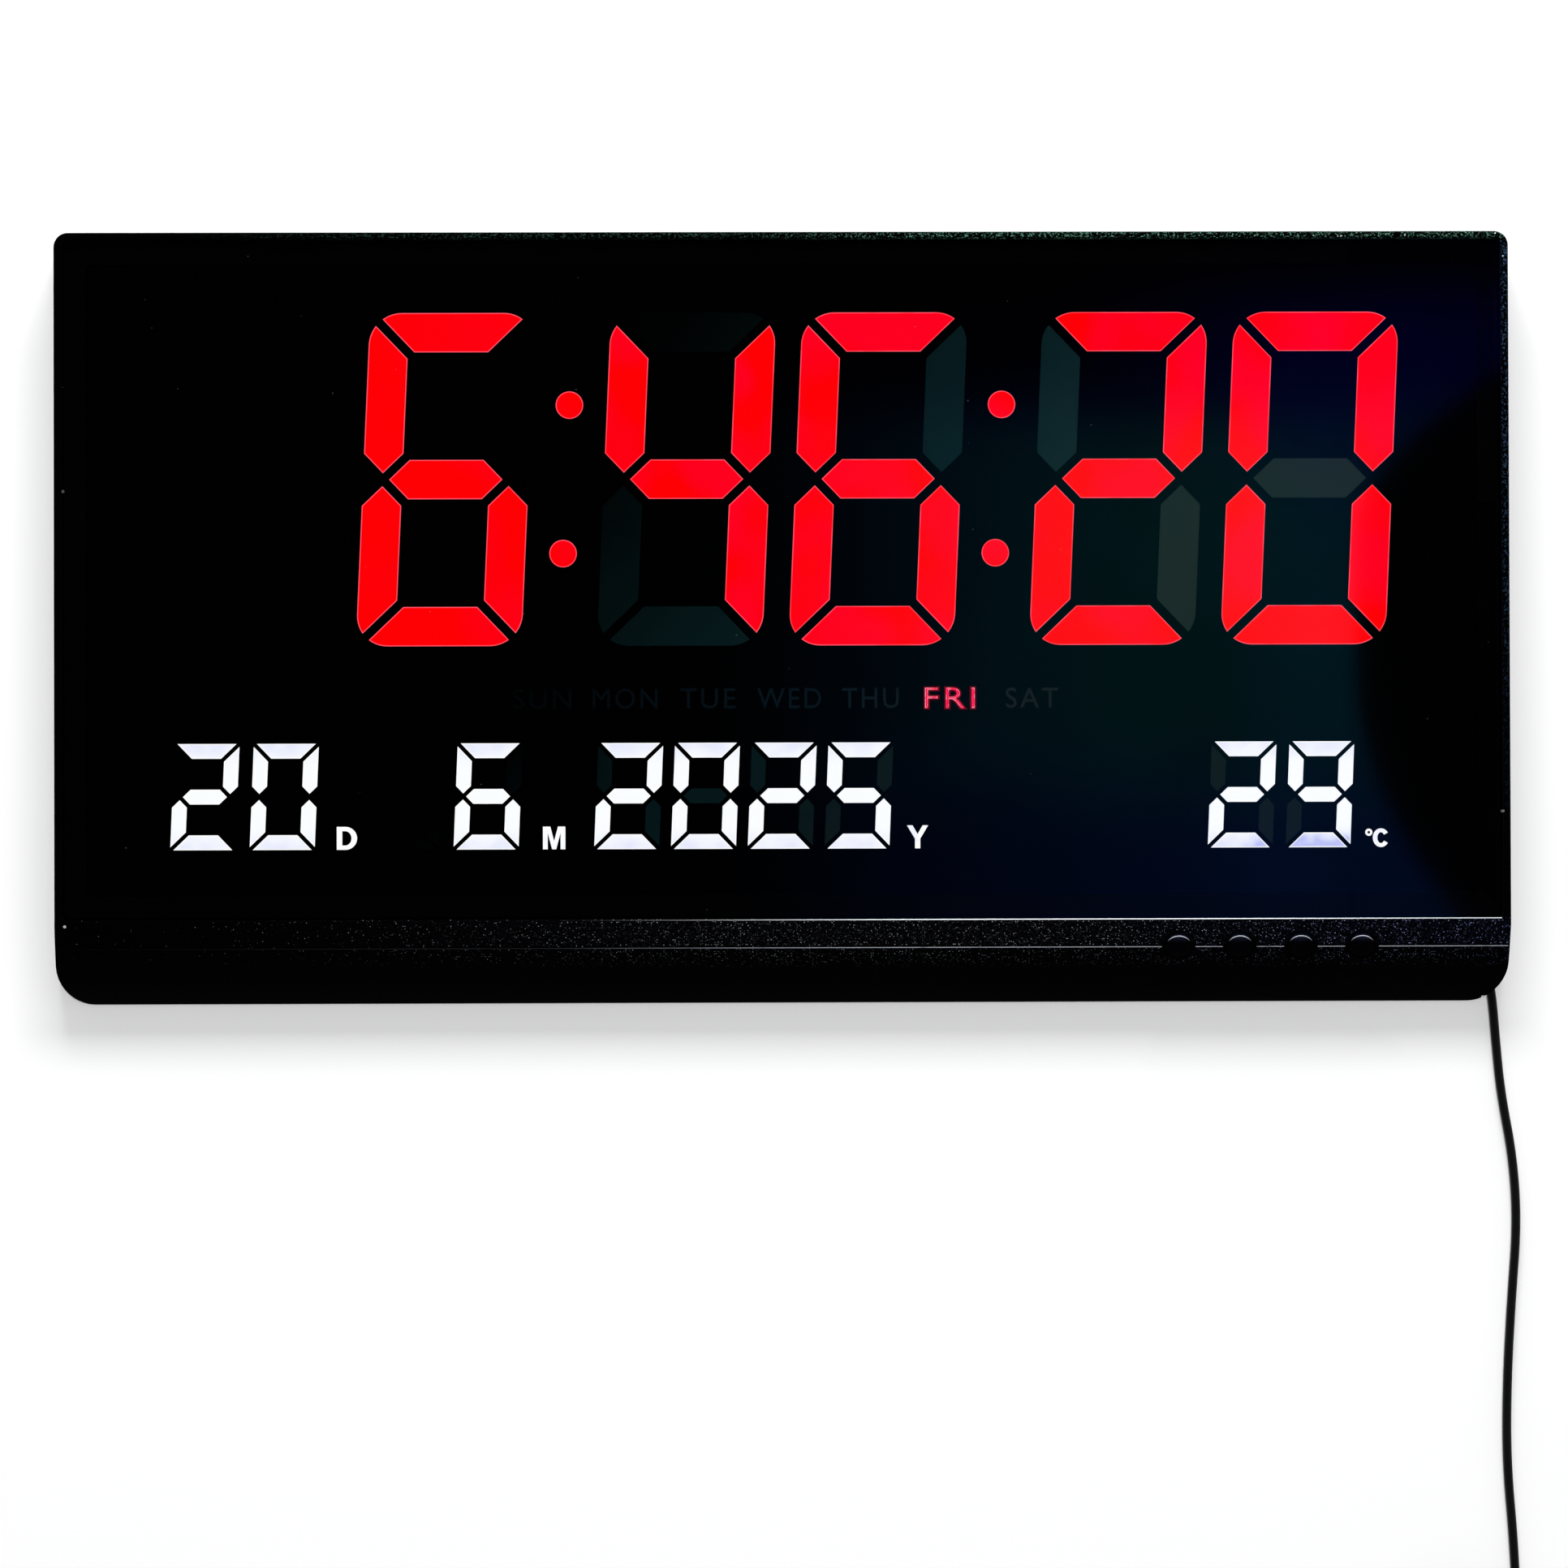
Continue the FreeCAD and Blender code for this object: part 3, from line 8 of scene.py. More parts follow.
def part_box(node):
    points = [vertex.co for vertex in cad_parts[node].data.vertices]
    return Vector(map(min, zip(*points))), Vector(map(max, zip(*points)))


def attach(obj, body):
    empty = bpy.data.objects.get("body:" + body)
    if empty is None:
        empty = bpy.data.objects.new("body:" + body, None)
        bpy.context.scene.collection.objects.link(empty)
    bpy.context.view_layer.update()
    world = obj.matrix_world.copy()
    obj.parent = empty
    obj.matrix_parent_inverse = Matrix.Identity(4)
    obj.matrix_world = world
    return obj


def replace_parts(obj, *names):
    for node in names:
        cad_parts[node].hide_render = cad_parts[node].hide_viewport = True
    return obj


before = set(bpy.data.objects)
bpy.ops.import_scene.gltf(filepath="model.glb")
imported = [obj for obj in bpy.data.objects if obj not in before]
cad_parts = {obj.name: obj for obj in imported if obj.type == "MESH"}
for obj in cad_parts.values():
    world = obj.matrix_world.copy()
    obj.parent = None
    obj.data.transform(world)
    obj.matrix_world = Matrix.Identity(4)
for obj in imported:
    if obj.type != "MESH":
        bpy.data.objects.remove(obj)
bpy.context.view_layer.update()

bl_info = {
    "name": "Wall calendar clock",
    "version": (1, 0, 0),
    "blender": (4, 5, 0),
    "location": "3D View > Sidebar > Clock",
    "description": "Finishes a wall-hung LED calendar clock around its fixed frame",
    "category": "Object",
}

# Lengths are in metres. X is to the right, Z is up, the wall is Y = 0 and the clock faces -Y.
X, Y, Z = 0, 1, 2
MM = 0.001
CASE_MIDDLE = -85 * MM                     # height of the case's middle under the keyholes
CASE_RIGHT, _, CASE_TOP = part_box("front_frame")[1]

# --- Seven-segment figures, as on the light board
LARGE = dict(w=54.6 * MM, h=110 * MM, stroke=13 * MM, gap=3 * MM, corner=10.5 * MM, slant=math.radians(2.6))
SMALL = dict(w=21.4 * MM, h=35 * MM, stroke=4.9 * MM, gap=1.4 * MM, corner=0.0, slant=math.radians(2.4))
TIME_X = np.array([-174.2, -111.0, -31.6, 31.6, 111.0, 174.2]) * MM
TIME_Z = CASE_MIDDLE + 45.5 * MM
DATE_X = np.array([-190.5, -164.4, -123.5, -97.3, -51.0, -25.7, -0.4, 24.9, 151.4, 177.1]) * MM
DATE_Z = CASE_MIDDLE - 59 * MM
DOT_X = np.array([-71.3, 71.3]) * MM
DOT_R = 4.55 * MM
DOT_RISE = 24.5 * MM
DOT_STEPS = 48
ARC_STEPS = 6                              # points on a rounded corner
LIT = {" ": "", "0": "abcdef", "1": "bc", "2": "abdeg", "3": "abcdg", "4": "bcfg", "5": "acdfg",
       "6": "acdefg", "7": "abc", "8": "abcdefg", "9": "abcdfg"}

# --- Words: text, middle and width in millimetres
WEEKDAYS = (("SUN", -79.4, 19.3), ("MON", -52.1, 21.4), ("TUE", -24.8, 18.2), ("WED", 2.0, 21.1),
            ("THU", 28.8, 18.7), ("FRI", 55.0, 16.4), ("SAT", 82.1, 17.4))
WEEKDAY_Z = CASE_MIDDLE - 26.9 * MM
WEEKDAY_CAP = 6.7 * MM
WEEKDAY_LOW = WEEKDAY_Z - WEEKDAY_CAP / 2
FONT_STEPS = 6                             # points on each curve of a letter
LETTER_SPACE = 1.18                        # from letter to letter, 1 being the font's own
FAINT_WEIGHT = 0.004                       # offsets of the letters' outlines, in the font's units
LIT_WEIGHT = -0.010
HALO_WEIGHT = LIT_WEIGHT + 0.046
CORE_WEIGHT = LIT_WEIGHT - 0.016
HALO = 0.45 * MM                           # reach of the dim red round the lit word
CORE_LESS = 0.45 * MM                      # by which the word's bright core is narrower and lower
CORE_RISE = 0.22 * MM

# --- Unit letters: text, middle, width and height in millimetres
UNITS = (("D", -143.8, 6.7, 7.6), ("M", -75.6, 7.4, 7.5), ("Y", 44.2, 7.0, 7.6), ("C", 197.2, 5.4, 6.2))
BASELINE = DATE_Z - SMALL["h"] / 2
BOWL_STEPS = 25                            # points on the round of a letter
RING_STEPS = 24
DEGREE_RING = (193.2 * MM, 4.9 * MM, 1.2 * MM, 0.45 * MM)   # middle, rise above the baseline, both radii
M_OUTLINE = ((0, 0), (0.215, 0), (0.215, 0.72), (0.41, 0), (0.59, 0), (0.785, 0.72), (0.785, 0),
             (1, 0), (1, 1), (0.67, 1), (0.5, 0.36), (0.33, 1), (0, 1))
Y_OUTLINE = ((0.375, 0), (0.625, 0), (0.625, 0.42), (1, 1), (0.74, 1), (0.5, 0.62), (0.26, 1),
             (0, 1), (0.375, 0.42))
C_GAPE = math.radians(33)                  # half of the C's opening

# --- Films behind the words and the letters: middle, width and height
WEEKDAY_FILM = [(1.35 * MM, WEEKDAY_Z, 187.9 * MM, 11.4 * MM)]
UNIT_FILM_Z = CASE_MIDDLE - 72.7 * MM
UNIT_FILMS = [(x * MM, UNIT_FILM_Z, 11.8 * MM, 11.4 * MM) for x in (-143.8, -75.6, 44.2, 195.6)]
FILM_CORNER = 0.6 * MM

# --- Depths just behind the window
LIGHT_FRONT = -27.35 * MM                  # front of the light board
LAYER = 0.01 * MM                          # from one layer of the display to the next
FACE = LIGHT_FRONT + LAYER                 # front of the lit segments and of the films
LETTER_FACE = LIGHT_FRONT - 3 * LAYER
TILE_BACK = LIGHT_FRONT + 3 * MM
FILM_BACK = LIGHT_FRONT + 0.3 * MM
EDGE_W = 0.32 * MM                         # bright line round a lit segment
EDGE_DROP = 0.04 * MM

# --- Chin with its joint line and buttons, and the edges of the window's pocket
JOINT_Y = -24.2 * MM
JOINT_Z = CASE_MIDDLE - 108.7 * MM
CHIN_TILT = math.radians(37.57)            # of the chin at the joint, from upright to facing down
LIP_R = 0.27 * MM
LIP_STEPS = 16
LIP_BEHIND = 0.46 * MM                     # from the joint's middle to the lip, along the chin
LIP_SUNK = 0.1 * MM
LIP_SHORT = 0.6 * MM                       # from the lip's end to the side of the case
BUTTON_X = 130.4 * MM
BUTTON_PITCH = 20.2 * MM
BUTTON_COUNT = 4
CAP_SHOULDER = 0.5 * MM
DISH_HALF = 5.6 * MM
WINDOW_LOW = CASE_MIDDLE - 99.7 * MM       # lower edge of the window's pocket
CHAMFER = 0.6 * MM
RIM_W = 2.4 * MM

# --- Lead: route from the plug's strain relief down the wall, then the tied turns and the tail
LEAD_ROUTE = np.array([
    (232.8, -7.7, -103.0), (232.8, -7.7, -111.0), (234.7, -3.5, -119.0), (236.1, -2.4, -127.5),
    (237.1, -2.5, -141.0), (238.7, -2.5, -158.0), (242.6, -2.5, -179.0), (243.9, -2.5, -201.0),
    (241.9, -2.5, -226.0), (240.3, -2.5, -253.0), (240.0, -2.5, -280.0), (242.3, -2.5, -307.0),
    (243.3, -2.4, -333.5),
]) * MM + (0, 0, CASE_MIDDLE)
TAIL_ROUTE = np.array([
    (237.6, -10.4, -349.5), (237.9, -11.8, -358.5), (238.1, -12.9, -369.0), (238.0, -13.0, -383.0),
    (238.0, -13.0, -397.0),
]) * MM + (0, 0, CASE_MIDDLE)
COIL_MIDDLE = (223.8 * MM, CASE_MIDDLE - 342 * MM)
COIL_TURNS = np.array([(19.6, -2.3), (16.5, -2.3), (13.4, -2.3), (13.4, -5.4), (16.5, -5.4), (19.6, -5.4),
                       (19.6, -8.5), (16.5, -8.5), (13.4, -8.5), (13.4, -8.5)]) * MM   # radius and depth
POINTS_PER_TURN = 16
STEP_SHARE = 0.35                          # share of a turn in which it passes to the next place

# --- Camera, and the picture that its lens is worked out for
PICTURE_SIDE = 1932
CAMERA_FOCUS = 12989.0                     # focal length in that picture's pixels
CAMERA_AT = (-83.4 * MM, -3.5, CASE_MIDDLE - 148.5 * MM)
CAMERA_YAW = math.radians(1.379)
CAMERA_PITCH = math.radians(1.539)
CAMERA_ROLL = math.radians(-0.186)

# --- Wall, and the dim card that the window mirrors
WALL_Y = 0.6 * MM
WALL_HALF = 4.0
CARD_Y = -2.6
CARD_HALF = 0.9
MIRRORED = CAMERA_AT[Y] / (CAMERA_AT[Y] + CARD_Y)   # share of the way to the card's image at the window
CURVE_X, CURVE_Z = 189.5 * MM, -83 * MM    # nearest point of the dark curve in the window
CURVE_FLAT = 20 * MM
CURVE_ABOVE, CURVE_BELOW = 14.0, 5.0       # how fast it bends away, per metre
GLOW_NAVY = (0.01, 0.10, 0.46)
GLOW_TEAL = (0.02, 0.34, 0.40)
GLOW_UPPER = (0.0, 0.0, 0.40)


# --- Surfaces
def arc(start, end, steps):
    """Points (cos, sin) of the unit circle, at even angles from start to end."""
    turn = np.linspace(start, end, steps)
    return np.stack([np.cos(turn), np.sin(turn)], axis=-1)


def circle(steps):
    """Points evenly round the unit circle, anticlockwise."""
    return arc(0, math.tau, steps + 1)[:-1]


def rounded_box(x, z, w, h, radius):
    """Outline of a rectangle about (x, z), anticlockwise, each corner a quarter circle of the radius."""
    corners = np.array([(-1, -1), (1, -1), (1, 1), (-1, 1)])
    centres = corners * (w / 2 - radius, h / 2 - radius) + (x, z)
    starts = np.array([2, 3, 0, 1]) * math.pi / 2
    return np.concatenate([centre + radius * arc(start, start + math.pi / 2, ARC_STEPS)
                           for centre, start in zip(centres, starts)])


def segment_outline(letter, style):
    """One bar of the figure of eight, as (x, z) points anticlockwise about the figure's middle.

    Bars are straight strokes whose ends are cut at 45 degrees, gap apart, so that the inner corners lie
    gap / sqrt 2 along the stroke. An outer corner is the circle of the corner radius, from its top or side
    to the angle acos(gap / 2 / corner) - 45 degrees, where the mitre cuts it. Then x leans by z times the
    slant's tangent.
    """
    stroke, corner = style["stroke"], style["corner"]
    cut = style["gap"] / math.sqrt(2)
    x, z = style["w"] / 2, style["h"] / 2
    turn = math.acos(style["gap"] / 2 / corner) - math.pi / 4 if corner else 0.0

    def on_corner(start, end):
        return corner * arc(start, end, ARC_STEPS) * (-1, 1) + (-x + corner, z - corner)

    if letter == "g":
        tip = x - stroke / 2 - cut
        half = stroke / 2
        points = np.array([(-tip, 0), (-tip + half, half), (tip - half, half),
                           (tip, 0), (tip - half, -half), (-tip + half, -half)])
    elif letter in "ad":
        inner = [(-x + stroke + cut, z - stroke), (x - stroke - cut, z - stroke)]
        if corner:
            left = on_corner(math.pi / 2, math.pi / 2 - turn)
            points = np.concatenate([inner, left[::-1] * (-1, 1), left])
        else:
            points = np.array(inner + [(x - cut, z), (-x + cut, z)])
    else:
        inner = [(-x + stroke / 2, cut), (-x + stroke, stroke / 2 + cut), (-x + stroke, z - stroke - cut)]
        outer = on_corner(turn, 0) if corner else np.array([(-x, z - cut)])
        points = np.concatenate([inner, outer, [(-x, stroke / 2 + cut)]])
    points = points * (-1 if letter in "bc" else 1, -1 if letter in "cde" else 1)
    points[:, 0] += points[:, 1] * math.tan(style["slant"])
    after = np.roll(points, -1, axis=0)
    area = np.sum(points[:, 0] * after[:, 1] - after[:, 0] * points[:, 1])
    return points if area > 0 else points[::-1]


def inset(points, distance):
    """The outline moved inwards. Each corner goes along the sum of its edges' normals, over 1 + their
    product."""
    along = np.roll(points, -1, axis=0) - points
    along /= np.linalg.norm(along, axis=1)[:, None]
    normal = np.stack([-along[:, 1], along[:, 0]], axis=-1)
    before = np.roll(normal, 1, axis=0)
    share = 1 + np.sum(normal * before, axis=1)
    return points + distance * (normal + before) / share[:, None]


def ring_stack(rings):
    """A closed skin over rings (m, n, 3) of points: quads between neighbours and a fan at both ends.

    Returns points, faces and the index of the band that each face belongs to, 0 and m being the two fans.
    """
    m, n, _ = rings.shape
    i = np.arange(n)
    j = (i + 1) % n
    points = np.concatenate([rings.reshape(-1, 3), [rings[0].mean(axis=0), rings[-1].mean(axis=0)]])
    rows = n * np.arange(m - 1)[:, None]
    quads = np.stack([rows + i, rows + n + i, rows + n + j, rows + j], axis=-1).reshape(-1, 4)
    first = np.stack([np.full(n, m * n), i, j], axis=-1)
    last = np.stack([np.full(n, m * n + 1), (m - 1) * n + j, (m - 1) * n + i], axis=-1)
    faces = first.tolist() + quads.tolist() + last.tolist()
    band = np.concatenate([np.zeros(n), np.repeat(np.arange(1, m), n), np.full(n, m)]).astype(int)
    return points, faces, band


def tile(outline, front, back):
    """A flat prism over an outline, with a narrow band along its front edge.

    Its rings are the inset outline in front, the outline a little lower, and the outline at the back.
    """
    rings = [(inset(outline, EDGE_W), front), (outline, front + EDGE_DROP), (outline, back)]
    return ring_stack(np.stack([np.insert(ring, 1, y, axis=1) for ring, y in rings]))


def joined(parts):
    """Several (points, faces, band) as one."""
    points, faces, bands = zip(*parts)
    starts = np.cumsum([0] + [len(some) for some in points])
    moved = [[start + corner for corner in face] for start, some in zip(starts, faces) for face in some]
    return np.concatenate(points), moved, np.concatenate(bands)


def sweep(path, section):
    """A profile carried along a line: each point of the line, plus each point of the profile."""
    return ring_stack(np.asarray(path)[:, None] + np.asarray(section)[None])


def slab(outline):
    """A letter's solid over an anticlockwise (x, z) outline: its front, its back and the walls between."""
    n = len(outline)
    points = np.concatenate([np.insert(outline, 1, y, axis=1) for y in (LETTER_FACE, FACE)])
    i = np.arange(n)
    j = (i + 1) % n
    walls = np.stack([i, n + i, n + j, j], axis=-1).tolist()
    faces = [list(range(n)), list(range(2 * n - 1, n - 1, -1))] + walls
    return points, faces, np.zeros(len(faces), dtype=int)


def loop_slab(outer, inner):
    """A letter's solid between two closed outlines of as many points, front and back, joined round."""
    n = len(outer)
    loops = [(outer, LETTER_FACE), (outer, FACE), (inner, FACE), (inner, LETTER_FACE)]
    points = np.concatenate([np.insert(loop, 1, y, axis=1) for loop, y in loops])
    i = np.arange(n)
    j = (i + 1) % n
    neighbours = ((0, 1), (1, 2), (2, 3), (3, 0))
    bands = [np.stack([a * n + i, b * n + i, b * n + j, a * n + j], axis=-1) for a, b in neighbours]
    faces = np.concatenate(bands).tolist()
    return points, faces, np.zeros(len(faces), dtype=int)


def lettering(text, middle, baseline, width, height, front, back, weight):
    """The text in the built-in font as a solid, fitted to its width and height: (points, faces, band).

    The text lies in its own plane, x along it and y up. Its points scale to the wanted width and height,
    then y becomes Z and its thickness becomes depth.
    """
    curve = bpy.data.curves.new("lettering", "FONT")
    curve.body = text
    curve.space_character = LETTER_SPACE
    curve.offset = weight
    curve.extrude = 0.5
    curve.resolution_u = FONT_STEPS
    holder = bpy.data.objects.new("lettering", curve)
    mesh = bpy.data.meshes.new_from_object(holder)
    points = np.empty(len(mesh.vertices) * 3)
    mesh.vertices.foreach_get("co", points)
    points = points.reshape(-1, 3)
    faces = [list(polygon.vertices) for polygon in mesh.polygons]
    bpy.data.objects.remove(holder)
    bpy.data.curves.remove(curve)
    bpy.data.meshes.remove(mesh)
    low, high = points.min(axis=0), points.max(axis=0)
    share = (points - low) / (high - low)
    placed = np.stack([middle + (share[:, 0] - 0.5) * width, back + share[:, 2] * (front - back),
                       baseline + share[:, 1] * height], axis=-1)
    return placed, faces, np.zeros(len(faces), dtype=int)


# --- Pieces
def piece(name, body, slot, made, *materials):
    """A mesh object from (points, faces, band), which rides on a body. Band 1 takes the second material."""
    points, faces, band = made
    mesh = bpy.data.meshes.new(name)
    mesh.from_pydata(points, [], faces)
    for material in materials:
        mesh.materials.append(material)
    if len(materials) > 1:
        mesh.polygons.foreach_set("material_index", (band == 1).astype(np.int32))
    mesh.validate()
    mesh.update()
    obj = bpy.data.objects.new(name, mesh)
    bpy.context.scene.collection.objects.link(obj)
    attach(obj, body)
    return obj


def dress(material, *names):
    """Gives CAD nodes a material."""
    for name in names:
        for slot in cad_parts[name].material_slots:
            slot.material = material


# --- Shader maths
class Socket:
    """An output of a node. Arithmetic on it adds Math nodes to its tree."""

    def __init__(self, paint, socket):
        self.paint = paint
        self.socket = socket

    def __add__(self, other):
        return self.paint.math("ADD", self, other)

    __radd__ = __add__

    def __sub__(self, other):
        return self.paint.math("SUBTRACT", self, other)

    def __rsub__(self, other):
        return self.paint.math("SUBTRACT", other, self)

    def __mul__(self, other):
        return self.paint.math("MULTIPLY", self, other)

    __rmul__ = __mul__

    def __pow__(self, other):
        return self.paint.math("POWER", self, other)

    def __gt__(self, other):
        return self.paint.math("GREATER_THAN", self, other)

    def __lt__(self, other):
        return self.paint.math("LESS_THAN", self, other)

    def absolute(self):
        return self.paint.math("ABSOLUTE", self)

    def ramp(self, low, high):
        """0 at low, 1 at high, smooth between them and flat outside."""
        return self.paint.add("ShaderNodeMapRange", {"interpolation_type": "SMOOTHSTEP"},
                              {"Value": self, "From Min": low, "From Max": high})


class Paint:
    """The nodes of a material or a world, under construction."""

    def __init__(self, holder):
        holder.use_nodes = True
        self.holder = holder
        self.tree = holder.node_tree
        self.tree.nodes.clear()

    def add(self, kind, settings=(), inputs=(), output=0):
        """A node of that type with its settings made and its inputs set or linked; returns one output."""
        made = self.tree.nodes.new(kind)
        for name, value in dict(settings).items():
            setattr(made, name, value)
        for key, value in (inputs.items() if isinstance(inputs, dict) else enumerate(inputs)):
            if isinstance(value, Socket):
                self.tree.links.new(value.socket, made.inputs[key])
            else:
                made.inputs[key].default_value = value
        return None if output is None else Socket(self, made.outputs[output])

    def math(self, operation, *terms):
        return self.add("ShaderNodeMath", {"operation": operation}, terms)

    def place(self):
        """Object coordinates."""
        return self.add("ShaderNodeTexCoord", output="Object")

    def part(self, vector, axis):
        """One coordinate of a vector."""
        return self.add("ShaderNodeSeparateXYZ", inputs=(vector,), output=axis)

    def along(self, axis):
        """The place along X, Y or Z."""
        return self.part(self.place(), axis)

    def chin_up(self):
        """Distance up along the chin from the joint."""
        y, z = self.along(Y) - JOINT_Y, self.along(Z) - JOINT_Z
        return z * math.cos(CHIN_TILT) - y * math.sin(CHIN_TILT)

    def chin_in(self):
        """Depth under the chin's surface at the joint."""
        y, z = self.along(Y) - JOINT_Y, self.along(Z) - JOINT_Z
        return y * math.cos(CHIN_TILT) + z * math.sin(CHIN_TILT)

    def noise(self, size, detail=2.0, rough=0.5):
        """Cloudy noise with features of a size, from 0 to 1."""
        return self.add("ShaderNodeTexNoise", inputs={"Vector": self.place(), "Scale": 1 / size,
                                                      "Detail": detail, "Roughness": rough})

    def streaks(self, across, along, axis):
        """Noise drawn out along an axis, as brushing or drawing marks."""
        scale = [1 / across] * 3
        scale[axis] = 1 / along
        vector = self.add("ShaderNodeMapping", inputs={"Vector": self.place(), "Scale": scale})
        return self.add("ShaderNodeTexNoise", inputs={"Vector": vector, "Scale": 1.0, "Detail": 3.0})

    def specks(self, pitch, share, radius):
        """Dots of a radius in a share of the cells of a pitch.

        It is 0 outside them and, inside, a brightness of each dot's own, mostly low.
        """
        near = self.add("ShaderNodeTexVoronoi", inputs={"Vector": self.place(), "Scale": 1 / pitch})
        cell = Socket(self, near.socket.node.outputs["Color"])
        brightness = self.part(cell, 1) ** 3 * 0.9 + 0.1
        return (self.part(cell, 0) < share) * (near < radius / pitch) * brightness

    def blend(self, factor, a, b):
        """Colour a where the factor is 0 and b where it is 1."""
        return self.add("ShaderNodeMix", {"data_type": "RGBA"}, {0: factor, 6: a, 7: b}, output=2)

    def background_ray(self):
        """1 for the rays that show a background: from the camera, mirrored or through glass."""
        kinds = ("Is Camera Ray", "Is Glossy Ray", "Is Transmission Ray")
        camera, mirrored, through = [self.add("ShaderNodeLightPath", output=kind) for kind in kinds]
        return self.math("MAXIMUM", camera, self.math("MAXIMUM", mirrored, through))

    def bump(self, height, depth):
        """A bump of that depth from a height between 0 and 1."""
        return self.add("ShaderNodeBump", inputs={"Strength": 1.0, "Distance": depth, "Height": height})

    def surface(self, **inputs):
        """The Principled shader on the output; inputs are named with _ for a space."""
        named = {name.replace("_", " "): value for name, value in inputs.items()}
        shader = self.add("ShaderNodeBsdfPrincipled", inputs=named)
        self.add("ShaderNodeOutputMaterial", inputs=(shader,), output=None)
        return self.holder


def paint(name):
    return Paint(bpy.data.materials.new(name))


def rgb(r, g, b):
    return (r, g, b, 1.0)


def scaled(tone, factor):
    """The colour of a tone made darker or paler."""
    return rgb(*[factor * share for share in tone])


# --- Finishes of the case
CASE_GLOSS = 0.004                         # specular level of the grained shells
CAP_GLOSS = 0.001
SIDE_TONE = (0.024, 0.025, 0.029)          # of the sides and the back
SIDE_TURN = (-0.22, 0.02)                  # Y of the normal where the sides' tone begins and is full
SHEEN_TONES = ((0.006, 0.006, 0.008), (0.004, 0.005, 0.013))   # painted sheen on the chin's low grain, middle and right
GLINT_TONES = ((0.50, 0.52, 0.60), (0.38, 0.43, 0.80))         # painted glints on its grain's peaks, middle and right
RIM_TONES = ((0.078, 0.20, 0.145), (0.032, 0.065, 0.125))     # painted reflection in the rim's grain, along the top and the side
CHIP_TONE = (0.9, 0.95, 1.0)
POCKET_HIGHLIGHT_TONE = (0.90, 0.94, 0.98)
LIP_HIGHLIGHT_TONE = (0.36, 0.38, 0.43)
SPECK_PITCH = 0.6 * MM
SPECK_R = 0.16 * MM
RIM_GRAIN = 0.55 * MM                      # size of the rim's grain
CHIP_PITCH = 1.3 * MM                      # of the pale specks near the upper right corner
CHIP_R = 0.22 * MM
NICKS = ((237.3 * MM, CASE_MIDDLE - 64.7 * MM), (-236.6 * MM, CASE_MIDDLE - 101.6 * MM),
         (-237.0 * MM, CASE_MIDDLE + 41.8 * MM))
NICK_R = 0.5 * MM
DISH_CLEAR = 6.0 * MM                      # no painted glints this near to a button's middle
RIM_PLAY = 0.2 * MM                        # by which the grain reaches past the rim's inner edge
RIM_LOW = CASE_TOP - RIM_W - RIM_PLAY
RIM_LEFT = CASE_RIGHT - RIM_W - RIM_PLAY
LINE_HALF = 0.17 * MM                      # half of the width of the painted highlight line on the joint's lip
POCKET_LINE = 0.27 * CHAMFER               # half of the width of the painted highlight line on the pocket's edge
POCKET_FRONT = -28.9 * MM                  # the line lies in front of this
POCKET_RIGHT = CASE_RIGHT - 3.1 * MM


def chin_grain(p, settings, front):
    """Masks of the chin's painted sheen and painted glints on its grain: more on the right and above the
    joint, where more light falls, and no painted glints at the buttons."""
    x, z, up = p.along(X), p.along(Z), p.chin_up()
    right = x.ramp(-CASE_RIGHT, 30 * MM)
    above = up > 0
    on_chin = z.ramp(JOINT_Z - 8 * MM, JOINT_Z - 0.5 * MM) * (z < WINDOW_LOW) * front
    # painted sheen: the grain is paler where more light falls, on the right and above the joint
    dull = p.noise(0.6 * settings.grain).ramp(0.45, 0.65) * on_chin * right * (0.15 + 0.85 * above)
    # painted glints on the grain's peaks, more on the right
    highlight = p.specks(SPECK_PITCH, right * 0.5 + 0.03, SPECK_R) * (right * 0.7 + 0.3) * on_chin
    start = x - (BUTTON_X - BUTTON_PITCH / 2)
    along = p.math("MODULO", start, BUTTON_PITCH) - BUTTON_PITCH / 2
    off_row = (start < 0) + (start > BUTTON_COUNT * BUTTON_PITCH)
    clear = (along * along + up * up > DISH_CLEAR ** 2) + off_row
    return dull, highlight * (0.65 + 0.35 * above) * (clear > 0.5)


def rim_grain(p, front):
    """Masks of the rim's grain, which carries a painted reflection, of the rim's right side, and of its
    pale specks and nicks.
    """
    x, z = p.along(X), p.along(Z)
    rim = (z > RIM_LOW) + (x > RIM_LEFT) * (z > WINDOW_LOW) > 0.5
    on_side = (x > RIM_LEFT) * (z < RIM_LOW)
    # strength of the rim's painted reflection along the top and down the side
    over_top = x.ramp(-210 * MM, -100 * MM) * 0.22 + x.ramp(-20 * MM, 60 * MM) * 0.78
    down_side = z.ramp(-180 * MM, 60 * MM)
    grain = p.noise(RIM_GRAIN, detail=2.0, rough=0.6).ramp(0.55, 0.64) * rim
    grain = grain * (on_side * down_side + (1 - on_side) * over_top)
    corner = x.ramp(130 * MM, 235 * MM) * (z > RIM_LOW - 10 * MM)
    chips = p.specks(CHIP_PITCH, 0.4, CHIP_R) * rim * corner
    for nick_x, nick_z in NICKS:
        near = (x - nick_x) * (x - nick_x) + (z - nick_z) * (z - nick_z) < NICK_R ** 2
        chips = chips + near * front * 0.6
    return grain, on_side, chips


def pocket_highlight(p):
    """Mask of the painted highlight line along the lower edge of the window's pocket, bright from the
    middle on.
    """
    x, y, z = p.along(X), p.along(Y), p.along(Z)
    line = (z - WINDOW_LOW + CHAMFER / 2).absolute() < POCKET_LINE
    shine = x.ramp(-80 * MM, 60 * MM) ** 1.6 * (1 - x.ramp(140 * MM, 245 * MM) * 0.35)
    return line * (y < POCKET_FRONT) * (x.absolute() < POCKET_RIGHT) * shine


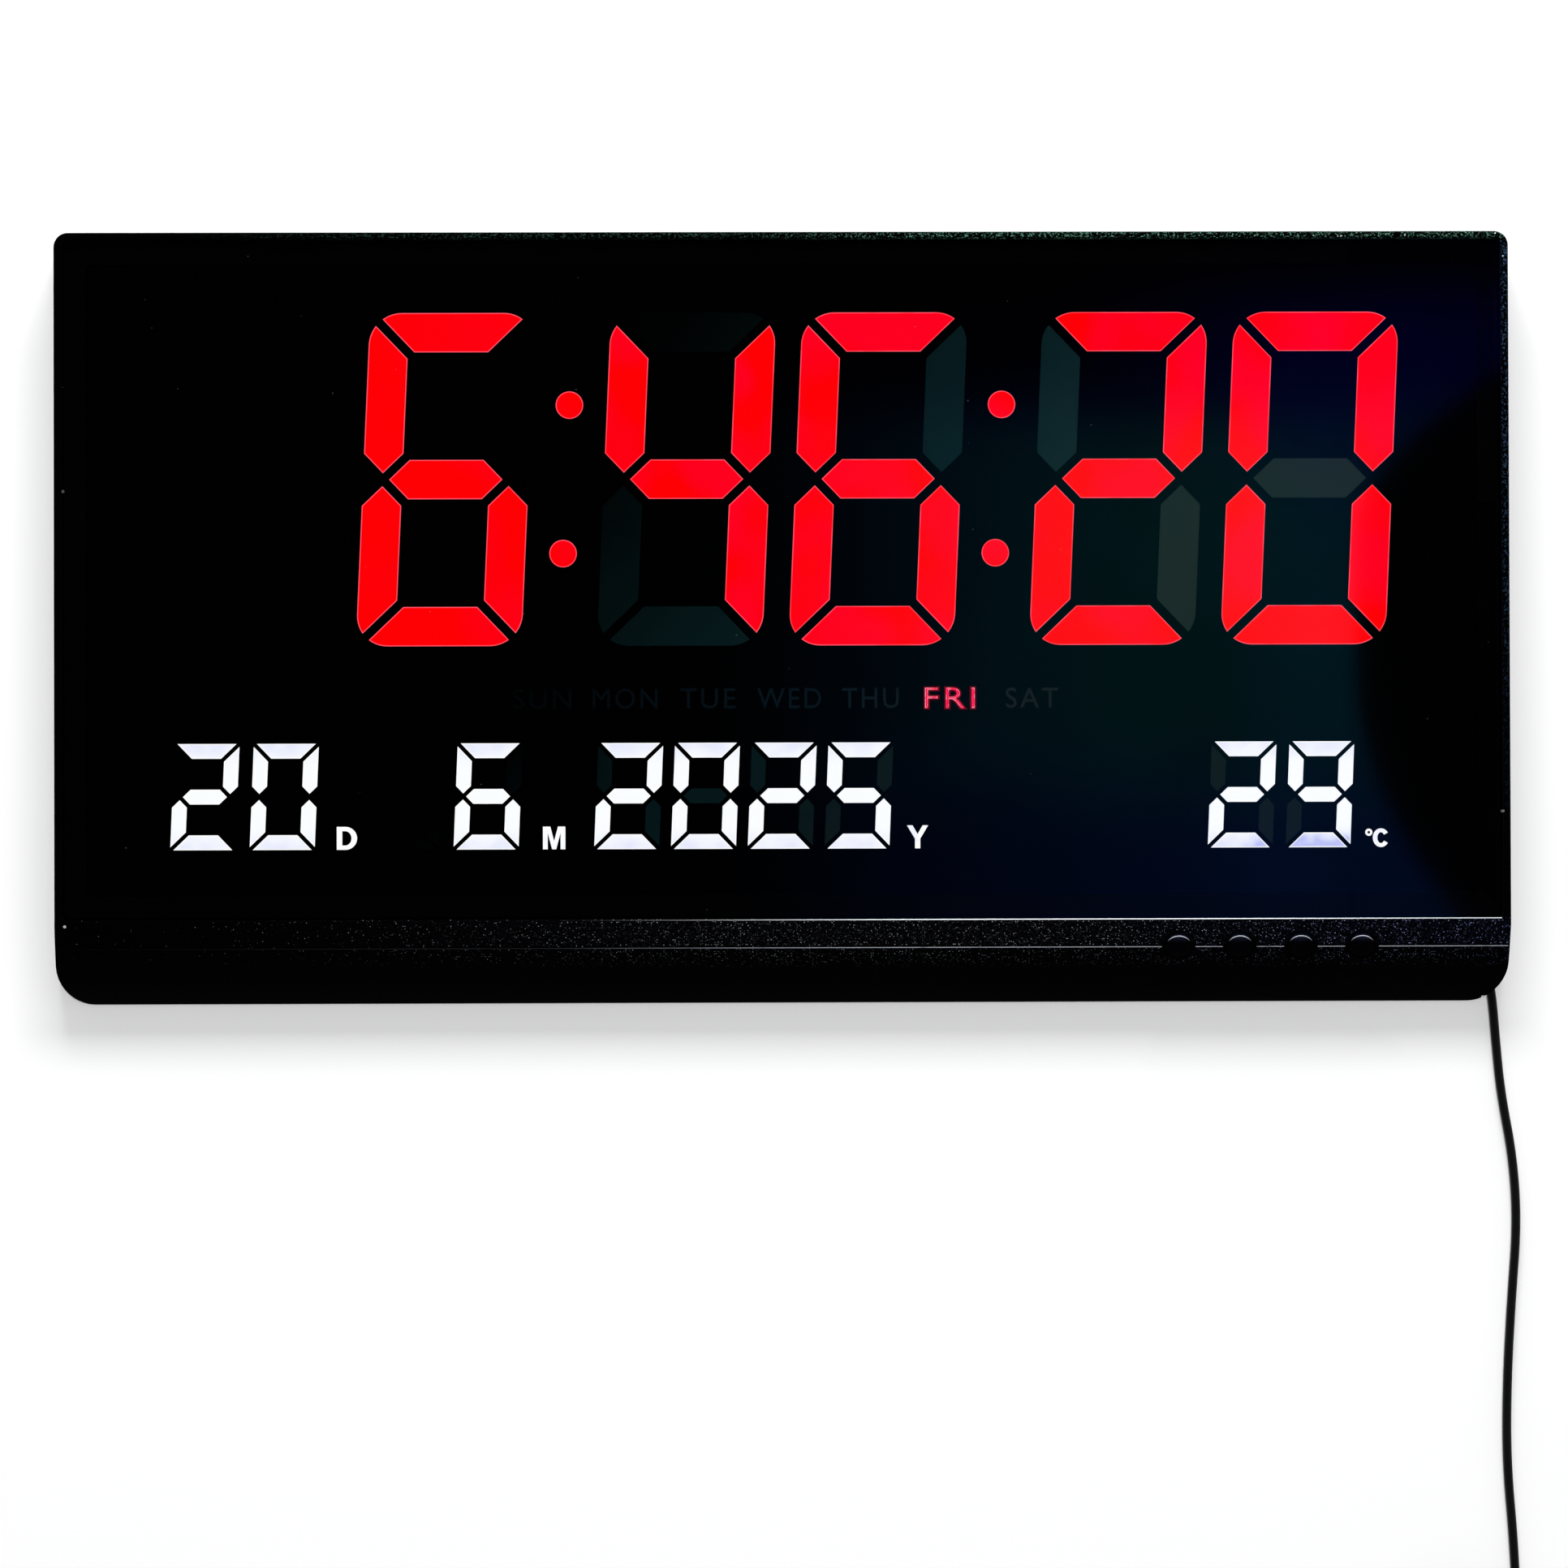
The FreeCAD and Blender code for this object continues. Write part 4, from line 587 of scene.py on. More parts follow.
def case_plastic(settings):
    """Black plastic with a spark-eroded grain, greyer on the sides and the back.

    The chin's grain carries a painted sheen and painted bluish glints on its peaks. The rim's grain is
    coarser and carries a painted reflection, a little green along the top and bluish down the right side. A
    painted highlight runs along the lower edge of the window's pocket.
    """
    p = paint("case_black")
    grain = p.noise(settings.grain, detail=3.0, rough=0.6)
    aside = p.part(p.add("ShaderNodeTexCoord", output="Normal"), Y).ramp(*SIDE_TURN)
    front = aside < 0.5
    dull, highlight = chin_grain(p, settings, front)
    raised, on_side, chips = rim_grain(p, front)
    right = p.along(X).ramp(60 * MM, 230 * MM)
    sides = p.blend(grain, scaled(SIDE_TONE, 0.7), rgb(*SIDE_TONE))
    colour = p.blend(aside, rgb(*settings.tone), sides)
    # painted sheen on the chin's grain
    colour = p.blend(dull, colour, p.blend(right, *[rgb(*tone) for tone in SHEEN_TONES]))
    # painted reflection in the rim's grain
    colour = p.blend(raised, colour, p.blend(on_side, *[rgb(*tone) for tone in RIM_TONES]))
    colour = p.blend(chips, colour, rgb(*CHIP_TONE))
    # painted glints, bluish towards the right
    colour = p.blend(highlight, colour, p.blend(right, *[rgb(*tone) for tone in GLINT_TONES]))
    # painted highlight along the lower edge of the window's pocket
    colour = p.blend(pocket_highlight(p), colour, rgb(*POCKET_HIGHLIGHT_TONE))
    return p.surface(Base_Color=colour, Roughness=0.50 + grain * 0.2, Specular_IOR_Level=CASE_GLOSS,
                     Normal=p.bump(grain, settings.grain_depth))


def lip_plastic():
    """The same plastic, with a painted highlight in a thin pale line along the mould's joint, less to the
    left.
    """
    p = paint("case_lip")
    x = p.along(X)
    right = x.ramp(-85 * MM, 35 * MM) * 0.97 + x.ramp(-CASE_RIGHT, -90 * MM) * 0.03
    line = (p.chin_up() + LIP_BEHIND).absolute() < LINE_HALF
    # painted highlight on the lip
    lip_highlight = p.noise(5 * MM, detail=3.0).ramp(0.1, 0.5) * right * line
    colour = p.blend(lip_highlight, rgb(0.001, 0.001, 0.001), rgb(*LIP_HIGHLIGHT_TONE))
    return p.surface(Base_Color=colour, Roughness=0.40 - lip_highlight * 0.1, Specular_IOR_Level=CASE_GLOSS,
                     Normal=p.bump(p.noise(0.9 * MM), 0.02 * MM))


def window_gloss(settings):
    """Smoke-black acrylic: a gloss skin through which the lit figures show, with a few specks of dust."""
    p = paint("window_black")
    dust = p.specks(10 * MM, 0.5, 0.24 * MM)
    haze = p.noise(60 * MM, detail=3.0)
    colour = p.blend(dust, rgb(0.0, 0.0, 0.0), rgb(0.8, 0.82, 0.85))
    return p.surface(Base_Color=colour, Roughness=0.025 + haze * 0.02 + dust * 0.5, Alpha=settings.tint,
                     IOR=1.52)


def button_plastic():
    """Smooth satin black, mottled, with a painted bluish sheen over the dome's upper part and a painted
    highlight along its edge's upper part.
    """
    p = paint("button_black")
    dome_mottle = p.noise(2.5 * MM, detail=4.0)
    up = p.chin_up().ramp(1.9 * MM, 4.1 * MM)
    highlight = up * ((p.chin_in() + CAP_SHOULDER).absolute() < 0.10 * MM)
    colour = p.blend(dome_mottle, rgb(0.0006, 0.0006, 0.001), rgb(0.0016, 0.0016, 0.0025))
    # painted bluish sheen over the dome's upper part
    colour = p.blend(up * 0.5, colour, rgb(0.012, 0.015, 0.035))
    # painted highlight along the upper part of the cap's edge
    colour = p.blend(highlight, colour, rgb(0.55, 0.57, 0.62))
    return p.surface(Base_Color=colour, Roughness=0.30 + dome_mottle * 0.12, Specular_IOR_Level=CAP_GLOSS,
                     Normal=p.bump(p.noise(0.35 * MM), 0.008 * MM))


# --- Finishes of the display
PRINT_BLACK = (0.0006, 0.0006, 0.0006)
PRINT_GLOSS = 0.08                         # specular level of the black print
TEAL = (0.34, 1.02, 1.38)                  # share of each primary kept in the painted teal reflection


def behind_window(p, cloud, colour=rgb(*PRINT_BLACK), **light):
    """The dull surface of all that lies behind the window, a little mottled."""
    return p.surface(Base_Color=colour, Roughness=0.5 + cloud * 0.1, Specular_IOR_Level=PRINT_GLOSS,
                     **light)


def glow(name, core, far, size, strength):
    """Milky resin lit from behind: two tones in soft clouds, with little of the second on the left."""
    p = paint(name)
    cloud = p.noise(size, detail=1.0).ramp(0.38, 0.62) * p.along(X).ramp(-160 * MM, 0)
    return behind_window(p, cloud, Emission_Color=p.blend(cloud, core, far), Emission_Strength=strength)


def white_glow(name, core, far, size, strength):
    """Milky resin lit white from behind, tinted at the top and the foot, most of all at the foot on the
    right."""
    p = paint(name)
    rise = p.along(Z) - DATE_Z
    right = (rise < 0) * p.along(X).ramp(140 * MM, 170 * MM)
    outer = rise.absolute().ramp(9.5 * MM, SMALL["h"] / 2) * (0.38 + 1.3 * right)
    cloud = p.noise(size, detail=1.0).ramp(0.3, 0.7) * 0.6 + 0.4
    tint = p.blend(outer * cloud, core, far)
    return behind_window(p, cloud, Emission_Color=tint, Emission_Strength=strength)


def dark_resin(name, tone, size, fade):
    """Resin with no light behind it, with painted shade towards the upper left, where a painted teal
    reflection also tints it more.
    """
    p = paint(name)
    cloud = p.noise(size, detail=2.0) * 0.4 + 0.8
    lower_right = p.along(X) - 0.8 * p.along(Z)
    teal = [a * b for a, b in zip(TEAL, tone)]
    # painted teal reflection, more towards the upper left
    colour = p.blend(lower_right.ramp(0.08, 0.19), rgb(*teal), rgb(*tone))
    # painted shade, darker towards the upper left
    colour = p.blend(lower_right.ramp(*fade) * cloud, rgb(*PRINT_BLACK), colour)
    return behind_window(p, cloud, colour)


def reflector():
    """White plastic inside the wells, with a black printed front."""
    p = paint("light_board")
    front = p.along(Y) < LIGHT_FRONT + 0.4 * MM
    cloud = p.noise(20 * MM)
    white = p.blend(cloud, rgb(0.8, 0.8, 0.78), rgb(0.88, 0.88, 0.87))
    return behind_window(p, cloud, p.blend(front, white, rgb(*PRINT_BLACK)))


def smoke_film():
    """Film printed in the board's black."""
    p = paint("film")
    cloud = p.noise(20 * MM)
    return behind_window(p, cloud, p.blend(cloud, rgb(*PRINT_BLACK), scaled(PRINT_BLACK, 1.1)))


# --- Finishes of the inner parts, the lead and the adapter
def moulded(name, tone, rough, size, depth, gloss=0.5):
    """Moulded plastic or rubber: a fine grain, a slow change of tone and a little variation of gloss."""
    p = paint(name)
    cloud = p.noise(14 * size, detail=3.0)
    grain = p.noise(size)
    pale = rgb(*[min(1.18 * share + 0.002, 1.0) for share in tone])
    return p.surface(Base_Color=p.blend(cloud, scaled(tone, 0.85), pale), Roughness=rough + grain * 0.14,
                     Specular_IOR_Level=gloss, Normal=p.bump(grain, depth))


def plated(name, tone, rough, across, along, axis):
    """Plated or drawn metal: fine marks along an axis and a mottled gloss."""
    p = paint(name)
    marks = p.streaks(across, along, axis)
    cloud = p.noise(20 * across, detail=3.0)
    return p.surface(Base_Color=p.blend(cloud, scaled(tone, 0.85), rgb(*tone)), Metallic=1.0,
                     Roughness=rough + marks * 0.16, Normal=p.bump(marks, 0.01 * MM))


def circuit_board(name):
    """Green solder mask over copper: broad straight tracks show as a raised, paler net."""
    p = paint(name)
    across = p.add("ShaderNodeMapping", inputs={"Vector": p.place(), "Rotation": (math.pi / 2, 0, 0)})
    tracks = p.add("ShaderNodeTexBrick", {"offset": 0.37, "squash": 1.4},
                   {"Vector": across, "Scale": 1 / (9 * MM), "Mortar Size": 0.06, "Mortar Smooth": 0.1},
                   output="Fac")
    cloud = p.noise(18 * MM)
    colour = p.blend(tracks, rgb(0.012, 0.10, 0.035), rgb(0.03, 0.19, 0.07))
    colour = p.blend(cloud * 0.3, colour, rgb(0.01, 0.07, 0.03))
    return p.surface(Base_Color=colour, Roughness=0.3 + cloud * 0.12, Normal=p.bump(tracks, 0.03 * MM))


# --- Settings
class ClockCase(bpy.types.PropertyGroup):
    """Sizes and colours of the case."""

    tone: bpy.props.FloatVectorProperty(
        name="Plastic", description="Colour of the moulded shells", subtype="COLOR",
        default=(0.0005, 0.0005, 0.0006), min=0, max=1)
    grain: bpy.props.FloatProperty(
        name="Grain", description="Size of the spark-eroded grain", unit="LENGTH",
        default=0.95 * MM, precision=5)
    grain_depth: bpy.props.FloatProperty(
        name="Grain depth", description="Depth of the grain", unit="LENGTH",
        default=0.10 * MM, precision=5)
    lip: bpy.props.FloatProperty(
        name="Lip", description="Radius of the lip along the joint", unit="LENGTH",
        default=LIP_R, precision=5)


class ClockDisplay(bpy.types.PropertyGroup):
    """What the display shows, and its colours."""

    time: bpy.props.StringProperty(
        name="Time", description="Hours, minutes and seconds, six figures", default=" 64620")
    date: bpy.props.StringProperty(
        name="Date", description="Day, month, year and degrees, ten figures", default="20 6202529")
    weekday: bpy.props.IntProperty(
        name="Weekday", description="The lit word, 0 for the first", default=5, min=0, max=6)
    tint: bpy.props.FloatProperty(
        name="Tint", description="How much of the light each side of the window stops",
        default=0.4, min=0, max=1, subtype="FACTOR")
    red: bpy.props.FloatVectorProperty(
        name="Lit time", description="Colour of the lit time", subtype="COLOR",
        default=(1.0, 0.0, 0.001), min=0, max=1)
    white: bpy.props.FloatVectorProperty(
        name="Lit date", description="Colour of the lit date", subtype="COLOR",
        default=(0.96, 0.98, 1.0), min=0, max=1)
    unlit: bpy.props.FloatVectorProperty(
        name="Unlit", description="Colour of a segment with no light behind it", subtype="COLOR",
        default=(0.074, 0.127, 0.106), min=0, max=1)


class ClockLead(bpy.types.PropertyGroup):
    """The lead."""

    length: bpy.props.FloatProperty(
        name="Length", description="Real length of the lead", unit="LENGTH", default=1.2)
    diameter: bpy.props.FloatProperty(
        name="Diameter", description="Diameter of the lead", unit="LENGTH", default=3 * MM, precision=4)


class ClockStage(bpy.types.PropertyGroup):
    """The wall, the lamps and the camera."""

    wall: bpy.props.FloatProperty(
        name="Wall", description="Paleness of the wall", default=0.9, min=0, max=1)
    lift: bpy.props.FloatProperty(
        name="Lift", description="White added to what the camera sees of the wall",
        default=0.1, min=0, max=1)
    key: bpy.props.FloatProperty(
        name="Key lamp", description="Power of the lamp above", unit="POWER", default=41.0)
    front: bpy.props.FloatProperty(
        name="Front lamp", description="Strength of the light from the front", default=1.15, min=0)
    fill: bpy.props.FloatProperty(
        name="Fill", description="Light of the room", default=0.24, min=0)


# --- Shapes of the operators
def joint_lip(radius):
    """Round lip along the joint across the chin, in runs that leave out the buttons' dishes."""
    section = radius * np.insert(circle(LIP_STEPS)[::-1], 0, 0, axis=1)
    y = JOINT_Y + LIP_BEHIND * math.sin(CHIN_TILT) + LIP_SUNK * math.cos(CHIN_TILT)
    z = JOINT_Z - LIP_BEHIND * math.cos(CHIN_TILT) + LIP_SUNK * math.sin(CHIN_TILT)
    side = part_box("rear_cover")[1].x - LIP_SHORT
    centres = BUTTON_X + BUTTON_PITCH * np.arange(BUTTON_COUNT)
    dishes = np.stack([centres - DISH_HALF, centres + DISH_HALF], axis=-1)
    ends = np.concatenate([[-side], dishes.ravel(), [side]]).reshape(-1, 2)
    return joined([sweep([(start, y, z), (end, y, z)], section) for start, end in ends])


def figures(text, style, xs, z):
    """The lit and the unlit segments of a row of figures."""
    lit, unlit = [], []
    for character, x in zip(text, xs):
        for letter in "abcdefg":
            row = lit if letter in LIT[character] else unlit
            row.append(tile(segment_outline(letter, style) + (x, z), FACE, TILE_BACK))
    return lit, unlit


def dots():
    """The round dots of the two colons, which lean with the figures."""
    lean = math.tan(LARGE["slant"])
    outline = DOT_R * circle(DOT_STEPS)
    return [tile(outline + (x + rise * lean, TIME_Z + rise), FACE, TILE_BACK)
            for x in DOT_X for rise in (DOT_RISE, -DOT_RISE)]


def word(index, weight, front=LETTER_FACE, grow=0.0):
    """The word of a weekday, larger by grow all round."""
    text, x, w = WEEKDAYS[index]
    return lettering(text, x * MM, WEEKDAY_LOW - grow, w * MM + 2 * grow, WEEKDAY_CAP + 2 * grow,
                     front, FACE, weight)


def word_core(index):
    """The bright middle of the lit word's strokes."""
    text, x, w = WEEKDAYS[index]
    return lettering(text, x * MM, WEEKDAY_LOW + CORE_RISE, w * MM - CORE_LESS, WEEKDAY_CAP - CORE_LESS,
                     LETTER_FACE - LAYER, LETTER_FACE, CORE_WEIGHT)


def unit_letter(letter, x, w, h):
    """A bold capital about x on the baseline, drawn in a square of side 1 and stretched to its size.

    M and Y are straight outlines. C is an ellipse's ring, open on the right. D is a half ellipse closed by
    a stem, about a smaller one.
    """
    def placed(points):
        return np.asarray(points) * (w, h) + (x - w / 2, BASELINE)

    if letter in "MY":
        return slab(placed(M_OUTLINE if letter == "M" else Y_OUTLINE))
    if letter == "C":
        bowl = arc(C_GAPE, math.tau - C_GAPE, BOWL_STEPS)
        outer, inner = 0.5 + bowl * 0.5, 0.5 + bowl * (0.22, 0.29)
        return slab(placed(np.concatenate([outer, inner[::-1]])))
    bowl = arc(-math.pi / 2, math.pi / 2, BOWL_STEPS)
    outer = np.concatenate([bowl * (0.58, 0.5) + (0.42, 0.5), [(0, 1), (0, 0)]])
    inner = np.concatenate([bowl * (0.30, 0.31) + (0.42, 0.5), [(0.27, 0.81), (0.27, 0.19)]])
    return loop_slab(placed(outer), placed(inner))


def degree_ring():
    """The small ring before the C."""
    x, rise, outer, inner = DEGREE_RING
    ring = circle(RING_STEPS)
    return loop_slab(outer * ring + (x, BASELINE + rise), inner * ring + (x, BASELINE + rise))


def coil_route():
    """Points of the tied turns. Each goes round at its own radius and depth and, near its end, passes
    smoothly to those of the next."""
    last = len(COIL_TURNS) - 1
    place = np.linspace(0, last, POINTS_PER_TURN * last + 1)
    turn = np.minimum(place.astype(int), last - 1)
    step = np.clip((place - turn - 1 + STEP_SHARE) / STEP_SHARE, 0, 1)
    step = (step * step * (3 - 2 * step))[:, None]
    radius, depth = (COIL_TURNS[turn] * (1 - step) + COIL_TURNS[turn + 1] * step).T
    angle = math.tau * place
    return np.stack([COIL_MIDDLE[0] + radius * np.cos(angle), depth,
                     COIL_MIDDLE[1] - radius * np.sin(angle)], axis=-1)


def through_window(settings):
    """Strength at which a glow looks as bright as written, behind the window's two tinted sides."""
    return 1 / (1 - settings.tint) ** 2


# --- Operators
class DressCase(bpy.types.Operator):
    """Gives the shells their grained plastic and the joint its lip with a painted highlight"""

    bl_idname = "clock.dress_case"
    bl_label = "Case"

    def execute(self, context):
        settings = context.scene.clock_case
        dress(case_plastic(settings), "front_frame", "rear_cover")
        piece("joint_lip", "casing", "case_black", joint_lip(settings.lip), lip_plastic())
        return {"FINISHED"}


class DressWindow(bpy.types.Operator):
    """Gives the window its smoke-black gloss and the board behind it its black front"""

    bl_idname = "clock.dress_window"
    bl_label = "Window"

    def execute(self, context):
        dress(window_gloss(context.scene.clock_display), "display_window")
        dress(reflector(), "light_board")
        dress(moulded("adhesive", PRINT_BLACK, 0.7, 0.8 * MM, 0.01 * MM, PRINT_GLOSS), "window_tape")
        return {"FINISHED"}


class MakeTime(bpy.types.Operator):
    """Makes the segments and dots of the time, lit and unlit"""

    bl_idname = "clock.make_time"
    bl_label = "Time"

    def execute(self, context):
        settings = context.scene.clock_display
        gain = through_window(settings)
        lit, unlit = figures(settings.time, LARGE, TIME_X, TIME_Z)
        core = glow("red_light", rgb(*settings.red), rgb(1.0, 0.0, 0.014), 26 * MM, gain)
        edge = glow("red_edge", rgb(1.0, 0.085, 0.13), rgb(1.0, 0.05, 0.07), 9 * MM, gain)
        shown = piece("time_segments_lit", "casing", "red_light", joined(lit + dots()), core, edge)
        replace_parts(shown, "time_diffusers")
        dark = dark_resin("dark_segment", settings.unlit, 20 * MM, (-0.07, 0.18))
        hidden = piece("time_segments_unlit", "casing", "red_light", joined(unlit), dark)
        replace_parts(hidden, "time_diffusers")
        return {"FINISHED"}


class MakeDate(bpy.types.Operator):
    """Makes the segments of the date and the temperature, lit and unlit"""

    bl_idname = "clock.make_date"
    bl_label = "Date"

    def execute(self, context):
        settings = context.scene.clock_display
        gain = through_window(settings)
        lit, unlit = figures(settings.date, SMALL, DATE_X, DATE_Z)
        core = white_glow("white_light", rgb(*settings.white), rgb(0.50, 0.54, 0.92), 7 * MM, gain)
        edge = glow("white_edge", rgb(1.0, 1.0, 1.0), rgb(0.9, 0.92, 1.0), 9 * MM, gain)
        shown = piece("date_segments_lit", "casing", "white_light", joined(lit), core, edge)
        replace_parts(shown, "date_diffusers")
        tone = [0.45 * share for share in settings.unlit]
        dark = dark_resin("dark_small_segment", tone, 12 * MM, (0.0, 0.09))
        hidden = piece("date_segments_unlit", "casing", "white_light", joined(unlit), dark)
        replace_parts(hidden, "date_diffusers")
        return {"FINISHED"}


class MakeWords(bpy.types.Operator):
    """Makes the films with the weekday words and the unit letters"""

    bl_idname = "clock.make_words"
    bl_label = "Words"

    def execute(self, context):
        settings = context.scene.clock_display
        gain = through_window(settings)
        strip = smoke_film()
        films = [("weekday_strip", "weekday_film", WEEKDAY_FILM), ("unit_strips", "unit_films", UNIT_FILMS)]
        for name, replaced, outlines in films:
            tiles = [tile(rounded_box(*outline, FILM_CORNER), FACE, FILM_BACK) for outline in outlines]
            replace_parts(piece(name, "casing", "film", joined(tiles), strip), replaced)
        lit = settings.weekday
        words = [word(index, FAINT_WEIGHT) for index in range(len(WEEKDAYS)) if index != lit]
        faint = dark_resin("dark_word", (0.055, 0.06, 0.068), 12 * MM, (-0.05, 0.18))
        piece("weekday_words", "casing", "film", joined(words), faint)
        edge = glow("word_edge", rgb(1.0, 0.04, 0.12), rgb(1.0, 0.36, 0.44), 1.4 * MM, gain)
        piece("weekday_lit_edge", "casing", "film", word(lit, LIT_WEIGHT), edge)
        around = word(lit, HALO_WEIGHT, front=LETTER_FACE + LAYER, grow=HALO)
        halo = glow("word_halo", rgb(0.10, 0.0, 0.004), rgb(0.14, 0.0, 0.010), 3 * MM, gain)
        piece("weekday_lit_halo", "casing", "film", around, halo)
        core = glow("word_light", rgb(1.0, 0.0, 0.07), rgb(1.0, 0.01, 0.10), 3 * MM, gain)
        piece("weekday_lit", "casing", "film", word_core(lit), core)
        units = [unit_letter(text, x * MM, w * MM, h * MM) for text, x, w, h in UNITS]
        white = glow("unit_light", rgb(1.0, 1.0, 1.0), rgb(0.88, 0.9, 1.0), 4 * MM, gain)
        piece("unit_letters", "casing", "film", joined(units + [degree_ring()]), white)
        return {"FINISHED"}


class DressButtons(bpy.types.Operator):
    """Gives the caps and the switches' plungers their plastic"""

    bl_idname = "clock.dress_buttons"
    bl_label = "Buttons"

    def execute(self, context):
        names = ("set", "up", "down", "alarm")
        dress(button_plastic(), *[f"{name}_button_cap" for name in names])
        plunger = moulded("plunger_black", (0.03, 0.03, 0.03), 0.4, 0.5 * MM, 0.01 * MM)
        dress(plunger, *[f"{name}_switch_plunger" for name in names])
        return {"FINISHED"}


class DressElectronics(bpy.types.Operator):
    """Gives the boards, chips, lamps, wires and screws their finishes"""

    bl_idname = "clock.dress_electronics"
    bl_label = "Electronics"

    def execute(self, context):
        dress(circuit_board("board_green"), "main_board", "key_board")
        dress(moulded("led_body", (0.78, 0.74, 0.55), 0.35, 0.3 * MM, 0.005 * MM), "red_leds", "white_leds")
        chip = moulded("chip_black", (0.018, 0.018, 0.02), 0.5, 0.25 * MM, 0.02 * MM)
        dress(chip, "controller_chip", "driver_chips", "coin_cell_holder", "buzzer", "dc_jack",
              "switch_bodies")
        dress(plated("tin", (0.72, 0.72, 0.70), 0.28, 0.1 * MM, 4 * MM, X), "clock_crystal")
        nickel = plated("nickel", (0.74, 0.71, 0.66), 0.16, 0.12 * MM, 6 * MM, Z)
        dress(nickel, "coin_cell", "dc_plug_barrel", "adapter_pins")
        dress(moulded("sensor_bead", (0.05, 0.035, 0.02), 0.3, 0.5 * MM, 0.01 * MM), "temperature_sensor")
        dress(moulded("capacitor_sleeve", (0.02, 0.03, 0.08), 0.35, 0.6 * MM, 0.01 * MM), "capacitors")
        dress(moulded("wire_sleeve", (0.35, 0.02, 0.02), 0.4, 0.4 * MM, 0.01 * MM), "jack_wires")
        dress(moulded("header_white", (0.75, 0.74, 0.70), 0.45, 0.4 * MM, 0.01 * MM), "cable_headers")
        dress(moulded("cable_grey", (0.35, 0.35, 0.36), 0.5, 0.6 * MM, 0.02 * MM), "key_cable")
        zinc = plated("screw_zinc", (0.62, 0.63, 0.66), 0.24, 0.08 * MM, 0.9 * MM, X)
        dress(zinc, "case_screws", "board_screws", "key_board_screws")
        return {"FINISHED"}


class MakeLead(bpy.types.Operator):
    """Makes the lead from the plug down the wall, its tied turns and its tail, and dresses what is on it"""

    bl_idname = "clock.make_lead"
    bl_label = "Lead"

    def execute(self, context):
        settings = context.scene.clock_lead
        points = np.concatenate([LEAD_ROUTE, coil_route(), TAIL_ROUTE])
        curve = bpy.data.curves.new("lead", "CURVE")
        curve.dimensions = "3D"
        spline = curve.splines.new("NURBS")
        spline.points.add(len(points) - 1)
        spline.points.foreach_set("co", np.column_stack([points, np.ones(len(points))]).ravel())
        spline.order_u = 3
        spline.use_endpoint_u = True
        curve.resolution_u = 10
        curve.bevel_depth = settings.diameter / 2
        curve.bevel_resolution = 5
        curve.use_fill_caps = True
        lead = bpy.data.objects.new("power_lead", curve)
        bpy.context.scene.collection.objects.link(lead)
        sleeve = moulded("cord_black", (0.003, 0.003, 0.0035), 0.45, 0.7 * MM, 0.02 * MM, 0.2)
        curve.materials.append(sleeve)
        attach(lead, "casing")
        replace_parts(lead, "dc_lead", "dc_lead_coil", "dc_lead_tail")
        dress(sleeve, "dc_plug_body", "plug_strain_relief", "adapter_strain_relief")
        dress(moulded("tie_black", (0.015, 0.015, 0.016), 0.45, 0.5 * MM, 0.02 * MM), "lead_tie")
        dress(moulded("adapter_black", (0.014, 0.014, 0.015), 0.4, 0.5 * MM, 0.03 * MM), "power_adapter")
        return {"FINISHED"}


class SetStage(bpy.types.Operator):
    """Makes the wall, the lamps, the room and the camera"""

    bl_idname = "clock.set_stage"
    bl_label = "Stage"

    def execute(self, context):
        settings = context.scene.clock_stage
        wall = stage_piece("wall", upright(WALL_Y, WALL_HALF), wall_paint(settings))
        wall.visible_shadow = False
        card = stage_piece("dim_card", upright(CARD_Y, CARD_HALF), card_paint())
        card.visible_camera = card.visible_diffuse = card.visible_shadow = card.visible_transmission = False
        key = area_lamp("key_lamp", (0.0, -1.5, 1.79), (0.0, 0.0, -0.2), (1.2, 0.5), settings.key)
        front = bpy.data.objects.new("front_lamp", bpy.data.lights.new("front_lamp", "SUN"))
        front.data.energy = settings.front
        front.data.angle = math.radians(3)
        front.rotation_euler = (math.radians(87), 0, 0)
        context.scene.collection.objects.link(front)
        key.visible_glossy = front.visible_glossy = False
        strip = area_lamp("strip_lamp", (0.55, -0.30, 0.95), (0.10, 0.0, -0.10), (0.9, 0.22),
                          0.35 * settings.key)
        strip.visible_diffuse = False
        area_lamp("back_lamp", (0.5, 1.3, 0.7), (0.0, 0.0, -0.1), (1.0, 1.0), 1.3 * settings.key)
        room(settings.fill)
        camera = bpy.data.objects.new("camera", bpy.data.cameras.new("camera"))
        camera.data.lens = CAMERA_FOCUS / PICTURE_SIDE * camera.data.sensor_width
        turn = Matrix.Rotation(-CAMERA_YAW, 4, "Z") @ Matrix.Rotation(math.pi / 2 + CAMERA_PITCH, 4, "X")
        camera.matrix_world = Matrix.Translation(CAMERA_AT) @ turn @ Matrix.Rotation(CAMERA_ROLL, 4, "Z")
        context.scene.collection.objects.link(camera)
        context.scene.camera = camera
        context.scene.view_settings.view_transform = "Standard"
        return {"FINISHED"}


# --- Stage
def upright(y, half):
    """Corners of an upright square across Y."""
    return [(-half, y, -half), (half, y, -half), (half, y, half), (-half, y, half)]


def stage_piece(name, corners, material):
    """A flat piece that isn't part of the object."""
    mesh = bpy.data.meshes.new(name)
    mesh.from_pydata(corners, [], [tuple(range(len(corners)))])
    mesh.materials.append(material)
    obj = bpy.data.objects.new(name, mesh)
    bpy.context.scene.collection.objects.link(obj)
    return obj


